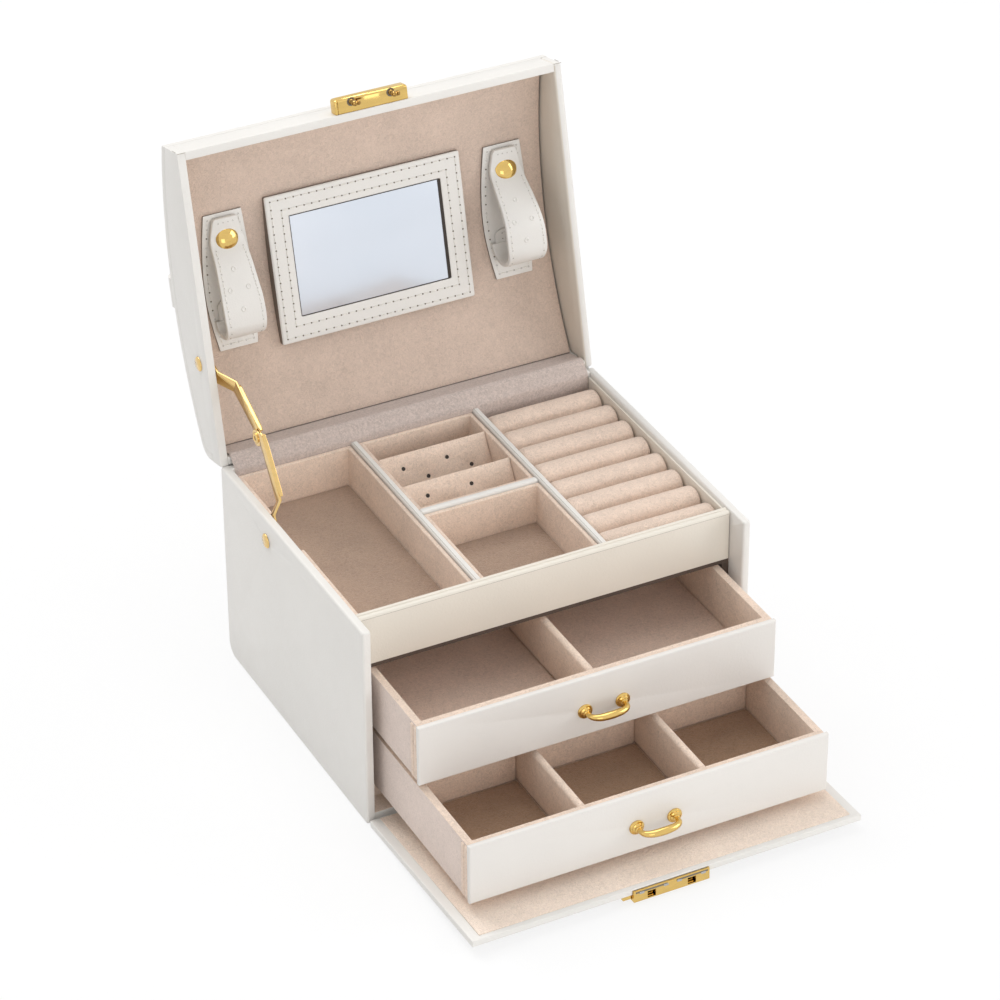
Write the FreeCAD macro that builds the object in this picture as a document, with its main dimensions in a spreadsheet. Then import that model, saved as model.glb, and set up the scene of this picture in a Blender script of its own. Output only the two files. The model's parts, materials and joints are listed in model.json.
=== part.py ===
import FreeCAD, Part
import Sketcher
import math
import os

# A travel jewellery box, in millimetres: X to the right, front towards -Y, Z up, with the
# origin in the middle of the underside of the case. It is drawn in the pose it is shown in:
# lid open, both drawers part way out, front flap down. The lid, the flap and the drawers are
# drawn in their closed places first, and their Placement then opens them.

V = FreeCAD.Vector
doc = FreeCAD.newDocument("travel_jewellery_box")
sheet = doc.addObject("Spreadsheet::Sheet", "Sizes")

SIZES = [
    ("case_w", 175.0, "case width"),
    ("case_d", 136.0, "case depth"),
    ("case_h", 93.0, "height of the side panels"),
    ("wall", 3.5, "covered panel thickness"),
    ("base_t", 4.0, "base board thickness"),
    ("corner_rad", 6.4, "rounded lower rear corner"),
    ("bay_z", 10.6, "top of the drawer bay floor"),
    ("bay_front", -57.5, "plane of the fascia and closed drawer fronts"),
    ("bay_back", 64.4, "rear end of the bay and the tray"),
    ("shelf_z", 38.1, "underside of the shelf between the drawers"),
    ("shelf_t", 1.8, "shelf thickness"),
    ("tray_z", 67.5, "underside of the tray floor"),
    ("tray_t", 2.0, "tray floor thickness"),
    ("fascia_t", 4.5, "fascia thickness"),
    ("fascia_top", 92.5, "top edge of the fascia"),
    ("divider_x", 28.5, "tray divider centre line"),
    ("divider_t", 3.0, "tray divider thickness"),
    ("divider_top", 91.0, "top of the tray dividers"),
    ("rim_z", 89.6, "rim of the tray inserts"),
    ("insert_t", 1.8, "tray insert wall"),
    ("insert_floor", 1.4, "tray insert floor"),
    ("roll_pitch", 14.3, "ring roll spacing"),
    ("roll_w", 14.0, "ring roll width"),
    ("roll_top", 90.2, "top of the ring rolls"),
    ("roll_end", 2.6, "rounding of the ring rolls' ends"),
    ("lid_angle", 102.94, "lid opening in degrees"),
    ("lid_gap", 0.3, "gap under the closed lid"),
    ("crown", 29.0, "lid crown above the rim"),
    ("dome_rise", 11.9, "crown above the front edge of the dome"),
    ("dome_t", 3.5, "dome panel thickness"),
    ("lining_t", 2.28, "lid lining thickness"),
    ("rear_leg", 8.0, "height of the lid's rear wall"),
    ("rear_rad", 8.0, "rounded rear edge of the dome"),
    ("frame_w", 90.0, "mirror frame width"),
    ("frame_z", 110.4, "front face of the mirror frame, lid closed"),
    ("frame_y_low", -35.5, "mirror frame edge near the lid's front"),
    ("frame_y_high", 29.5, "mirror frame edge near the hinge"),
    ("glass_w", 70.0, "mirror width"),
    ("glass_y_low", -25.5, "mirror edge near the lid's front"),
    ("glass_y_high", 19.0, "mirror edge near the hinge"),
    ("glass_t", 1.3, "mirror thickness"),
    ("strap_x", 64.6, "centre line of the lid straps"),
    ("patch_t", 1.2, "strap patch thickness"),
    ("strap_t", 1.8, "strap thickness"),
    ("snap_y", -22.8, "snap position, lid closed"),
    ("snap_rad", 5.0, "snap cap radius"),
    ("hasp_w", 33.0, "hasp width"),
    ("hasp_d", 6.3, "hasp thickness"),
    ("hasp_z0", 93.5, "underside of the hasp"),
    ("hasp_z1", 99.0, "top of the hasp"),
    ("pin_x", 9.0, "catch pin distance from the middle"),
    ("pin_y", -72.5, "catch pin distance in front of the middle"),
    ("stay_len", 41.65, "stay arm length between rivets"),
    ("stay_w", 5.2, "stay arm width"),
    ("stay_t", 0.9, "stay arm thickness"),
    ("stay_case_y", 23.5, "stay rivet on the case"),
    ("stay_case_z", 82.8, "stay rivet on the case, height"),
    ("stay_lid_y", 24.6, "stay rivet on the lid, lid closed"),
    ("stay_lid_z", 101.95, "stay rivet on the lid, height, lid closed"),
    ("rivet_rad", 1.2, "rivet shank radius"),
    ("rivet_head", 3.2, "rivet head radius"),
    ("flap_w", 174.6, "front flap width"),
    ("flap_board_t", 3.0, "flap board thickness"),
    ("flap_lining_t", 0.5, "flap lining thickness"),
    ("flap_out", -71.5, "outer face of the flap when closed"),
    ("flap_z0", 0.15, "lower edge of the closed flap"),
    ("flap_z1", 92.6, "upper edge of the closed flap"),
    ("flap_axis_y", -70.45, "flap fold"),
    ("flap_axis_z", 1.05, "flap fold height"),
    ("flap_tilt", 2.38, "flap tilt on its lock, in degrees"),
    ("lock_w", 34.0, "lock width"),
    ("lock_z0", 80.6, "lower edge of the lock when closed"),
    ("lock_z1", 93.4, "end plate of the lock when closed"),
    ("lock_out", -74.8, "outer face of the lock when closed"),
    ("lock_in", -69.3, "inner face of the lock when closed"),
    ("lock_wall", 0.7, "lock case wall"),
    ("drawer_w", 160.8, "drawer front width"),
    ("drawer_box_w", 159.6, "drawer box width"),
    ("drawer_front_t", 2.0, "drawer front thickness"),
    ("drawer_wall", 3.2, "drawer wall"),
    ("drawer_floor", 3.2, "drawer floor"),
    ("drawer_back", 62.0, "rear end of a closed drawer"),
    ("upper_out", 44.9, "upper drawer drawn out by"),
    ("lower_out", 88.4, "lower drawer drawn out by"),
    ("front_high", 27.7, "drawer front height"),
    ("lower_front_z", 11.2, "lower edge of the lower drawer front"),
    ("upper_front_z", 39.4, "lower edge of the upper drawer front"),
    ("pull_x", 1.5, "pull centre"),
    ("pull_up", 12.0, "pull above the lower edge of its drawer front"),
    ("pull_span", 17.0, "pull foot spacing"),
    ("pull_reach", 8.8, "pull projection"),
    ("handle_w", 13.0, "carry handle width"),
    ("handle_t", 2.6, "carry handle thickness"),
    ("handle_lift", 9.6, "carry handle above the crown"),
]

D = {}
for row, (alias, value, note) in enumerate(SIZES, start=1):
    D[alias] = value
    sheet.set("A%d" % row, note)
    sheet.set("B%d" % row, str(value))
    sheet.setAlias("B%d" % row, alias)
doc.recompute()

nodes = []


def named(text):
    """An expression on the sheet's names: every word in it is one of the aliases."""
    out = ""
    word = ""
    for ch in text + " ":
        if ch.isalnum() or ch == "_":
            word += ch
            continue
        out += "Sizes." + word if word in D else word
        word = ""
        out += ch
    return out.strip()


def keep(obj, label):
    """The object is a sub-part of that name."""
    obj.Label = label
    nodes.append(obj)
    return obj


def new_body(label):
    return keep(doc.addObject("PartDesign::Body", "Body_" + label), label)


def new_sketch(body, role, offset):
    """A sketch on an origin plane of its own body, moved along the plane's normal."""
    plane = next(o for o in body.Origin.OriginFeatures if o.Role == role)
    sketch = body.newObject("Sketcher::SketchObject", "Sketch")
    sketch.AttachmentSupport = [(plane, "")]
    sketch.MapMode = "FlatFace"
    sketch.setExpression("AttachmentOffset.Base.z", named(offset))
    return sketch


def corner(sketch, geo, point, across, up):
    """Ties a point of the sketch to two expressions."""
    for kind, text in (("DistanceX", across), ("DistanceY", up)):
        index = sketch.addConstraint(Sketcher.Constraint(kind, -1, 1, geo, point, 1.0))
        sketch.setExpression("Constraints[%d]" % index, named(text))


def polygon(sketch, corners):
    """A closed outline through corners, each a pair of expressions."""
    count = len(corners)
    first = sketch.GeometryCount
    for k in range(count):
        a = 2.0 * math.pi * k / count
        b = 2.0 * math.pi * (k + 1) / count
        start = V(50.0 * math.cos(a), 50.0 * math.sin(a), 0)
        end = V(50.0 * math.cos(b), 50.0 * math.sin(b), 0)
        sketch.addGeometry(Part.LineSegment(start, end), False)
    for k in range(count):
        following = first + (k + 1) % count
        sketch.addConstraint(Sketcher.Constraint("Coincident", first + k, 2, following, 1))
    for k, (across, up) in enumerate(corners):
        corner(sketch, first + k, 1, across, up)


def rectangle(sketch, x0, x1, y0, y1):
    polygon(sketch, [(x0, y0), (x1, y0), (x1, y1), (x0, y1)])


def circle(sketch, across, up, radius):
    geo = sketch.addGeometry(Part.Circle(V(1, 1, 0), V(0, 0, 1), 1.0), False)
    corner(sketch, geo, 3, across, up)
    index = sketch.addConstraint(Sketcher.Constraint("Radius", geo, 1.0))
    sketch.setExpression("Constraints[%d]" % index, named(radius))


def pad(body, sketch, length):
    feature = body.newObject("PartDesign::Pad", "Pad")
    feature.Profile = sketch
    feature.setExpression("Length", named(length))
    return feature


def pocket(body, sketch, depth, reversed_way=False):
    """A pocket against the sketch's normal, or along it when reversed."""
    feature = body.newObject("PartDesign::Pocket", "Pocket")
    feature.Profile = sketch
    feature.Reversed = reversed_way
    feature.setExpression("Length", named(depth))
    return feature


def box_body(label, x, y, z):
    """A rectangular board: x, y and z are pairs of expressions."""
    body = new_body(label)
    sketch = new_sketch(body, "XY_Plane", z[0])
    rectangle(sketch, x[0], x[1], y[0], y[1])
    pad(body, sketch, "(%s) - (%s)" % (z[1], z[0]))
    return body


def cut_box(body, x, y, z):
    """Cuts a rectangular space out of a body."""
    sketch = new_sketch(body, "XY_Plane", z[1])
    rectangle(sketch, x[0], x[1], y[0], y[1])
    return pocket(body, sketch, "(%s) - (%s)" % (z[1], z[0]))


def open_tray(label, x, y, z, wall, floor):
    """An open-topped box."""
    body = box_body(label, x, y, z)
    inner_x = ("(%s) + %s" % (x[0], wall), "(%s) - %s" % (x[1], wall))
    inner_y = ("(%s) + %s" % (y[0], wall), "(%s) - %s" % (y[1], wall))
    cut_box(body, inner_x, inner_y, ("(%s) + %s" % (z[0], floor), z[1]))
    return body


def side_prism(label, x, corners):
    """An outline in the YZ plane, drawn out along X."""
    body = new_body(label)
    sketch = new_sketch(body, "YZ_Plane", x[0])
    polygon(sketch, corners)
    pad(body, sketch, "(%s) - (%s)" % (x[1], x[0]))
    return body


def edges_at(shape, test):
    """Names of the straight edges whose two ends both pass the test."""
    found = []
    for index, edge in enumerate(shape.Edges, start=1):
        ends = [v.Point for v in edge.Vertexes]
        if len(ends) == 2 and all(test(p) for p in ends):
            found.append("Edge%d" % index)
    return found


def round_edges(body, radius, test):
    """Rounds the edges of the body's last feature that lie where test says."""
    doc.recompute()
    last = body.Tip
    feature = body.newObject("PartDesign::Fillet", "Fillet")
    feature.Label = "Fillet of " + body.Label
    feature.Base = (last, edges_at(last.Shape, test))
    if radius in D:
        feature.setExpression("Radius", named(radius))
    else:
        feature.Radius = radius
    return feature


def near(value, target):
    return abs(value - target) < 0.02


def revolved(label, corners):
    """A body turned about its own Z axis, from an outline of (radius, height) pairs."""
    body = new_body(label)
    sketch = new_sketch(body, "XZ_Plane", "0")
    polygon(sketch, corners)
    feature = body.newObject("PartDesign::Revolution", "Revolution")
    feature.Profile = sketch
    axis = next(o for o in body.Origin.OriginFeatures if o.Role == "Z_Axis")
    feature.ReferenceAxis = (axis, [""])
    feature.Angle = 360.0
    return body


def solid_node(label, shape):
    """A shape worked out from the sheet's sizes."""
    feature = doc.addObject("Part::Feature", "Form_" + label)
    feature.Shape = shape
    return keep(feature, label)


def placement(origin, turn):
    return FreeCAD.Placement(origin, turn)


def turned_about(point, degrees):
    """The placement that turns about an X-parallel axis through point."""
    turn = FreeCAD.Rotation(V(1, 0, 0), degrees)
    return FreeCAD.Placement(V(0, 0, 0), turn, point)


half_w = D["case_w"] / 2
half_d = D["case_d"] / 2
lid_open = turned_about(V(0, half_d, D["case_h"]), -D["lid_angle"])
flap_turn = 90.0 - D["flap_tilt"]
flap_open = turned_about(V(0, D["flap_axis_y"], D["flap_axis_z"]), flap_turn)
upper_shift = placement(V(0, -D["upper_out"], 0), FreeCAD.Rotation())
lower_shift = placement(V(0, -D["lower_out"], 0), FreeCAD.Rotation())

inner = ("-case_w/2 + wall", "case_w/2 - wall")
snug = ("-case_w/2 + wall + 0.1", "case_w/2 - wall - 0.1")

# The case: base board, rear panel with its rounded foot, side panels.
box_body("base_board", inner, ("-case_d/2 + 0.6", "case_d/2 - 6.5"), ("0", "base_t"))

rear = side_prism("rear_panel", inner, [
    ("case_d/2 - 6.5", "0"), ("case_d/2", "0"), ("case_d/2", "case_h"),
    ("case_d/2 - wall", "case_h"), ("case_d/2 - wall", "base_t"), ("case_d/2 - 6.5", "base_t")])
round_edges(rear, "corner_rad", lambda p: near(p.y, half_d) and near(p.z, 0))
round_edges(rear, 0.8, lambda p: near(p.y, half_d) and near(p.z, D["case_h"]))

for side, x in (("left", ("-case_w/2", "-case_w/2 + wall")), ("right", ("case_w/2 - wall", "case_w/2"))):
    sign = -1 if side == "left" else 1
    panel = side_prism("%s_side_panel" % side, x, [
        ("-case_d/2", "0"), ("case_d/2", "0"), ("case_d/2", "case_h"), ("-case_d/2", "case_h")])
    round_edges(panel, "corner_rad", lambda p: near(p.y, half_d) and near(p.z, 0))
    round_edges(panel, 1.2, lambda p: near(p.x, sign * half_w) and near(p.z, D["case_h"]))
    round_edges(panel, 1.0, lambda p: near(p.y, -half_d) and near(p.x, sign * half_w))
    if side == "left":
        sketch = new_sketch(panel, "YZ_Plane", "-case_w/2 + wall")
        circle(sketch, "stay_case_y", "stay_case_z", "rivet_rad + 0.02")
        pocket(panel, sketch, "wall + 1")

# The drawer bay: its floor, its two dark side walls, and the shelf between the drawers.
box_body("bay_floor", snug, ("bay_front + 0.3", "case_d/2 - 6.6"), ("base_t", "bay_z"))

bay_walls = []
for x in (-1, 1):
    part_box = doc.addObject("Part::Box", "BayWall")
    part_box.setExpression("Length", named("3.1"))
    part_box.setExpression("Width", named("bay_back - bay_front - 0.5"))
    part_box.setExpression("Height", named("tray_z - bay_z"))
    left_x = "80.9" if x > 0 else "-84.0"
    part_box.setExpression("Placement.Base.x", named(left_x))
    part_box.setExpression("Placement.Base.y", named("bay_front + 0.5"))
    part_box.setExpression("Placement.Base.z", named("bay_z"))
    bay_walls.append(part_box)
group = doc.addObject("Part::Compound", "BayWalls")
group.Links = bay_walls
keep(group, "bay_side_walls")

box_body("drawer_shelf", ("-80.8", "80.8"), ("bay_front + 2.5", "bay_back"),
         ("shelf_z", "shelf_z + shelf_t"))

# The tray on top: floor, fascia, dividers, velvet inserts.
box_body("tray_floor", snug, ("bay_front + 0.4", "bay_back"), ("tray_z", "tray_z + tray_t"))

fascia = side_prism("front_fascia", ("-case_w/2 + wall + 0.4", "case_w/2 - wall - 0.4"), [
    ("bay_front", "tray_z + tray_t"), ("bay_front + fascia_t", "tray_z + tray_t"),
    ("bay_front + fascia_t", "fascia_top"),
    ("bay_front + fascia_t/2 + 0.35", "fascia_top"), ("bay_front + fascia_t/2", "fascia_top - 0.6"),
    ("bay_front + fascia_t/2 - 0.35", "fascia_top"), ("bay_front", "fascia_top")])
fascia_back = D["bay_front"] + D["fascia_t"]
round_edges(fascia, 1.1, lambda p: near(p.y, D["bay_front"]) and near(p.z, D["fascia_top"]))
round_edges(fascia, 1.1, lambda p: near(p.y, fascia_back) and near(p.z, D["fascia_top"]))

for side, centre in (("left", "-divider_x"), ("right", "divider_x")):
    x = ("%s - divider_t/2" % centre, "%s + divider_t/2" % centre)
    divider = box_body("%s_tray_divider" % side, x, ("-52.9", "64.2"), ("tray_z + tray_t", "divider_top"))
    round_edges(divider, 1.0, lambda p: near(p.z, D["divider_top"]) and p.y > -60)

box_body("cross_divider", ("-divider_x + divider_t/2 + 0.1", "divider_x - divider_t/2 - 0.1"),
         ("2.5", "5.5"), ("tray_z + tray_t", "divider_top - 0.3"))

left_insert = open_tray("left_tray_insert", ("-82.3", "-divider_x - divider_t/2 - 0.3"), ("-52.7", "63.8"),
                        ("tray_z + tray_t", "rim_z"), "insert_t", "insert_floor")
cut_box(left_insert, ("-83.0", "-80.0"), ("1.5", "29.0"), ("79.0", "rim_z + 1.0"))

mid_x = ("-divider_x + divider_t/2 + 0.3", "divider_x - divider_t/2 - 0.3")
open_tray("small_tray_insert", mid_x, ("-52.7", "2.2"), ("tray_z + tray_t", "rim_z"),
          "insert_t", "insert_floor")
open_tray("earring_insert", mid_x, ("5.8", "63.8"), ("tray_z + tray_t", "rim_z"),
          "insert_t", "insert_floor")

# Two velvet cards lean back in the earring place, each with two staggered rows of holes.
cards = []
for top_y in (48.6, 25.6):
    low_z = D["tray_z"] + D["tray_t"] + D["insert_floor"] + 0.6
    high_z = 88.9
    lean = 0.68
    run = (high_z - low_z) * lean
    length = math.hypot(run, high_z - low_z)
    card = Part.makeBox(49.2, 1.7, length, V(-24.6, -0.85, -length))
    for across, down in ((-15.0, 6.2), (5.3, 6.2), (-4.9, 11.8), (15.3, 11.8)):
        hole = Part.makeCylinder(0.9, 6.0, V(across, -3.0, -down), V(0, 1, 0))
        card = card.cut(hole)
    turn = FreeCAD.Rotation(V(1, 0, 0), -math.degrees(math.atan(lean)))
    card.Placement = placement(V(0, top_y, high_z), turn)
    cards.append(card)
solid_node("earring_panels", Part.makeCompound(cards))

# Eight stuffed ring rolls: domed on top, drawn in towards the floor, rounded ends.
roll_low = D["tray_z"] + D["tray_t"]


def roll_section(x, y, grow, sink):
    """The closed outline of a roll at one place along it."""
    half = D["roll_w"] / 2 * grow
    top = D["roll_top"] - sink
    belly = top - half
    foot = roll_low + 1.2 * sink
    points = [V(x, y - 0.80 * half, foot), V(x, y - 0.93 * half, 0.5 * (foot + belly)), V(x, y - half, belly)]
    for k in range(1, 8):
        a = math.pi - math.pi * k / 8
        points.append(V(x, y + half * math.cos(a), belly + (top - belly) * math.sin(a)))
    points += [V(x, y + half, belly), V(x, y + 0.93 * half, 0.5 * (foot + belly)), V(x, y + 0.80 * half, foot)]
    curve = Part.BSplineCurve()
    curve.interpolate(points)
    under = Part.LineSegment(points[-1], points[0])
    return Part.Wire([curve.toShape(), under.toShape()])


rolls = []
roll_x0 = D["divider_x"] + D["divider_t"] / 2 + 0.5
roll_x1 = half_w - D["wall"] - 1.3
for k in range(8):
    y = -45.35 + D["roll_pitch"] * k
    section = Part.Face(roll_section(roll_x0, y, 1.0, 0.0))
    roll = section.extrude(V(roll_x1 - roll_x0, 0, 0))
    ends = []
    for edge in roll.Edges:
        box = edge.BoundBox
        if box.XLength < 0.01 and box.ZLength > 5:
            ends.append(edge)
    rolls.append(roll.makeFillet(D["roll_end"], ends))
solid_node("ring_rolls", Part.makeCompound(rolls))

box_body("right_tray_liner", ("case_w/2 - wall - 1.1", "case_w/2 - wall - 0.1"), ("-52.7", "63.8"),
         ("tray_z + tray_t", "divider_top"))

# The fabric that crosses the hinge, on the case's side of it: satin inside, cover outside.
box_body("hinge_lining", ("-83.2", "83.2"), ("61.4", "64.4"), ("divider_top + 0.1", "divider_top + 1.0"))
box_body("lid_hinge_cover", inner, ("case_d/2", "case_d/2 + 0.7"), ("80", "92.2"))

# The lid, drawn closed. Its dome is one arc whose centre is on the plane y = 0.
dome_radius = ((half_d ** 2) + D["dome_rise"] ** 2) / (2 * D["dome_rise"])
dome_zc = D["case_h"] + D["crown"] - dome_radius
RADIUS = "((case_d/2)^2 + dome_rise^2) / (2*dome_rise)"
CENTRE = "(case_h + crown - %s)" % RADIUS


def arc_height(y, inset):
    return dome_zc + math.sqrt((dome_radius - inset) ** 2 - y ** 2)


def arc_outline(sketch, y_front, y_back, inset_out, inset_in):
    """A band between two arcs, cut off upright at both ends; the insets are expressions."""
    values = []
    for inset in (inset_out, inset_in):
        values.append(sum(D.get(word, 0.0) for word in inset.replace("+", " ").split()))
    points = []
    for y, depth in ((D_Y(y_front), 0), (D_Y(y_back), 0), (D_Y(y_back), 1), (D_Y(y_front), 1)):
        points.append(V(y, arc_height(y, values[depth]), 0))
    centre = V(0, dome_zc, 0)
    arcs = []
    for a, b, depth in ((points[1], points[0], 0), (points[2], points[3], 1)):
        radius = dome_radius - values[depth]
        start = math.atan2(a.y - centre.y, a.x)
        end = math.atan2(b.y - centre.y, b.x)
        ring = Part.Circle(centre, V(0, 0, 1), radius)
        arcs.append(sketch.addGeometry(Part.ArcOfCircle(ring, start, end), False))
    back = sketch.addGeometry(Part.LineSegment(points[1], points[2]), False)
    front = sketch.addGeometry(Part.LineSegment(points[3], points[0]), False)
    for pair in ((arcs[0], 1, back, 1), (back, 2, arcs[1], 1), (arcs[1], 2, front, 1), (front, 2, arcs[0], 2)):
        sketch.addConstraint(Sketcher.Constraint("Coincident", *pair))
    sketch.addConstraint(Sketcher.Constraint("Coincident", arcs[0], 3, arcs[1], 3))
    corner(sketch, arcs[0], 3, "0", CENTRE)
    for arc, inset in ((arcs[0], inset_out), (arcs[1], inset_in)):
        index = sketch.addConstraint(Sketcher.Constraint("Radius", arc, 100.0))
        sketch.setDatum(index, FreeCAD.Units.Quantity("%f mm" % (dome_radius - values[arcs.index(arc)])))
        sketch.setExpression("Constraints[%d]" % index, named("%s - (%s)" % (RADIUS, inset)))
    for line, y in ((back, y_back), (front, y_front)):
        for point in (1, 2):
            index = sketch.addConstraint(Sketcher.Constraint("DistanceX", -1, 1, line, point, D_Y(y)))
            sketch.setExpression("Constraints[%d]" % index, named(y))


def D_Y(text):
    """The value of an expression of the form a*case_d/2 + b that places a lid edge."""
    return Y_VALUES[text]


Y_VALUES = {
    "-case_d/2": -half_d,
    "case_d/2": half_d,
    "-case_d/2 + wall + 0.1": -half_d + D["wall"] + 0.1,
    "case_d/2 - 7": half_d - 7,
    "frame_y_low": D["frame_y_low"],
    "frame_y_high": D["frame_y_high"],
}

lid_parts = []


def on_lid(obj):
    lid_parts.append(obj)
    return obj


dome = on_lid(new_body("lid_dome_panel"))
dome_sketch = new_sketch(dome, "YZ_Plane", "-case_w/2")
arc_outline(dome_sketch, "-case_d/2", "case_d/2", "0", "dome_t")
pad(dome, dome_sketch, "case_w")
leg_sketch = new_sketch(dome, "YZ_Plane", "-case_w/2")
rectangle(leg_sketch, "case_d/2 - wall", "case_d/2", "case_h + rear_leg", "case_h + crown - dome_rise - 1.5")
pad(dome, leg_sketch, "case_w")
outer_z = arc_height(half_d, 0)
round_edges(dome, "rear_rad", lambda p: near(p.y, half_d) and near(p.z, outer_z))
inner_y = half_d - D["wall"]
inner_z = arc_height(inner_y, D["dome_t"])
round_edges(dome, 4.4, lambda p: near(p.y, inner_y) and near(p.z, inner_z))
round_edges(dome, 0.9, lambda p: near(p.y, -half_d) and near(p.z, outer_z))

for side, x in (("left", ("-case_w/2", "-case_w/2 + wall")), ("right", ("case_w/2 - wall", "case_w/2"))):
    wall_shape = on_lid(new_body("lid_%s_wall" % side))
    sketch = new_sketch(wall_shape, "YZ_Plane", x[0])
    y0, y1 = -half_d, half_d - D["wall"]
    z0 = D["case_h"] + D["lid_gap"]
    z_leg = D["case_h"] + D["rear_leg"]
    under = dome_radius - D["dome_t"]
    ring = Part.Circle(V(0, dome_zc, 0), V(0, 0, 1), under)
    start = math.atan2(arc_height(y1, D["dome_t"]) - dome_zc, y1)
    end = math.atan2(arc_height(y0, D["dome_t"]) - dome_zc, y0)
    arc = sketch.addGeometry(Part.ArcOfCircle(ring, start, end), False)
    chain = [V(y0, arc_height(y0, D["dome_t"]), 0), V(y0, z0, 0), V(half_d, z0, 0), V(half_d, z_leg, 0),
             V(y1, z_leg, 0), V(y1, arc_height(y1, D["dome_t"]), 0)]
    texts = [None, ("-case_d/2", "case_h + lid_gap"), ("case_d/2", "case_h + lid_gap"),
             ("case_d/2", "case_h + rear_leg"), ("case_d/2 - wall", "case_h + rear_leg"), None]
    lines = []
    for a, b in zip(chain, chain[1:]):
        lines.append(sketch.addGeometry(Part.LineSegment(a, b), False))
    sketch.addConstraint(Sketcher.Constraint("Coincident", arc, 2, lines[0], 1))
    for a, b in zip(lines, lines[1:]):
        sketch.addConstraint(Sketcher.Constraint("Coincident", a, 2, b, 1))
    sketch.addConstraint(Sketcher.Constraint("Coincident", lines[-1], 2, arc, 1))
    sketch.addConstraint(Sketcher.Constraint("Vertical", lines[0]))
    sketch.addConstraint(Sketcher.Constraint("Vertical", lines[-1]))
    for line, text in zip(lines[1:], texts[1:5]):
        corner(sketch, line, 1, text[0], text[1])
    corner(sketch, arc, 3, "0", CENTRE)
    index = sketch.addConstraint(Sketcher.Constraint("Radius", arc, under))
    sketch.setExpression("Constraints[%d]" % index, named("%s - dome_t" % RADIUS))
    pad(wall_shape, sketch, "wall")
    round_edges(wall_shape, 4.4, lambda p: near(p.y, inner_y) and near(p.z, inner_z))
    if side == "left":
        sketch = new_sketch(wall_shape, "YZ_Plane", "-case_w/2 + wall")
        circle(sketch, "stay_lid_y", "stay_lid_z", "rivet_rad + 0.02")
        pocket(wall_shape, sketch, "wall + 1")

on_lid(box_body("lid_front_wall", inner, ("-case_d/2", "-case_d/2 + wall"),
                ("case_h + lid_gap", "case_h + 13.3")))
on_lid(box_body("lid_rear_wall", inner, ("case_d/2 - wall", "case_d/2"),
                ("case_h + lid_gap", "case_h + rear_leg")))

lining = on_lid(new_body("lid_lining"))
lining_sketch = new_sketch(lining, "YZ_Plane", "-83.3")
arc_outline(lining_sketch, "-case_d/2 + wall + 0.1", "case_d/2 - 7", "dome_t", "dome_t + lining_t")
pad(lining, lining_sketch, "166.6")
lining_inset = D["dome_t"] + D["lining_t"]

# The mirror board: its back follows the lining, its front is flat and holds the glass.
frame = on_lid(new_body("mirror_frame"))
frame_sketch = new_sketch(frame, "YZ_Plane", "-frame_w/2")
y0, y1 = D["frame_y_low"], D["frame_y_high"]
ring = Part.Circle(V(0, dome_zc, 0), V(0, 0, 1), dome_radius - lining_inset)
start = math.atan2(arc_height(y1, lining_inset) - dome_zc, y1)
end = math.atan2(arc_height(y0, lining_inset) - dome_zc, y0)
arc = frame_sketch.addGeometry(Part.ArcOfCircle(ring, start, end), False)
chain = [V(y0, arc_height(y0, lining_inset), 0), V(y0, D["frame_z"], 0), V(y1, D["frame_z"], 0),
         V(y1, arc_height(y1, lining_inset), 0)]
lines = []
for a, b in zip(chain, chain[1:]):
    lines.append(frame_sketch.addGeometry(Part.LineSegment(a, b), False))
frame_sketch.addConstraint(Sketcher.Constraint("Coincident", arc, 2, lines[0], 1))
frame_sketch.addConstraint(Sketcher.Constraint("Coincident", lines[0], 2, lines[1], 1))
frame_sketch.addConstraint(Sketcher.Constraint("Coincident", lines[1], 2, lines[2], 1))
frame_sketch.addConstraint(Sketcher.Constraint("Coincident", lines[2], 2, arc, 1))
frame_sketch.addConstraint(Sketcher.Constraint("Vertical", lines[0]))
frame_sketch.addConstraint(Sketcher.Constraint("Vertical", lines[2]))
corner(frame_sketch, lines[1], 1, "frame_y_low", "frame_z")
corner(frame_sketch, lines[1], 2, "frame_y_high", "frame_z")
corner(frame_sketch, arc, 3, "0", CENTRE)
index = frame_sketch.addConstraint(Sketcher.Constraint("Radius", arc, dome_radius - lining_inset))
frame_sketch.setExpression("Constraints[%d]" % index, named("%s - dome_t - lining_t" % RADIUS))
pad(frame, frame_sketch, "frame_w")
round_edges(frame, 0.9, lambda p: near(p.z, D["frame_z"]))
recess = new_sketch(frame, "XY_Plane", "frame_z")
rectangle(recess, "-glass_w/2", "glass_w/2", "glass_y_low", "glass_y_high")
pocket(frame, recess, "glass_t + 0.5", True)
on_lid(box_body("mirror_glass", ("-glass_w/2 + 0.05", "glass_w/2 - 0.05"),
                ("glass_y_low + 0.05", "glass_y_high - 0.05"), ("frame_z + 0.5", "frame_z + 0.5 + glass_t")))


def on_lining(y0, depth):
    """A point (y, z) that lies depth below the lining's surface at y0, lid closed."""
    radius = dome_radius - lining_inset
    a = math.asin(y0 / radius)
    return ((radius - depth) * math.sin(a), dome_zc + (radius - depth) * math.cos(a))


def spline_points(points, closed=False):
    curve = Part.BSplineCurve()
    curve.interpolate(points, PeriodicFlag=closed)
    return curve.toShape()


def outline_prism(centre_x, rows, z0, z1):
    """An upright prism whose half-width changes along Y: rows are (y, half width)."""
    left = [V(centre_x - w, y, z0) for y, w in rows]
    right = [V(centre_x + w, y, z0) for y, w in reversed(rows)]
    edges = [spline_points(left), Part.LineSegment(left[-1], right[0]).toShape(),
             spline_points(right), Part.LineSegment(right[-1], left[0]).toShape()]
    return Part.Face(Part.Wire(edges)).extrude(V(0, 0, z1 - z0))


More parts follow.
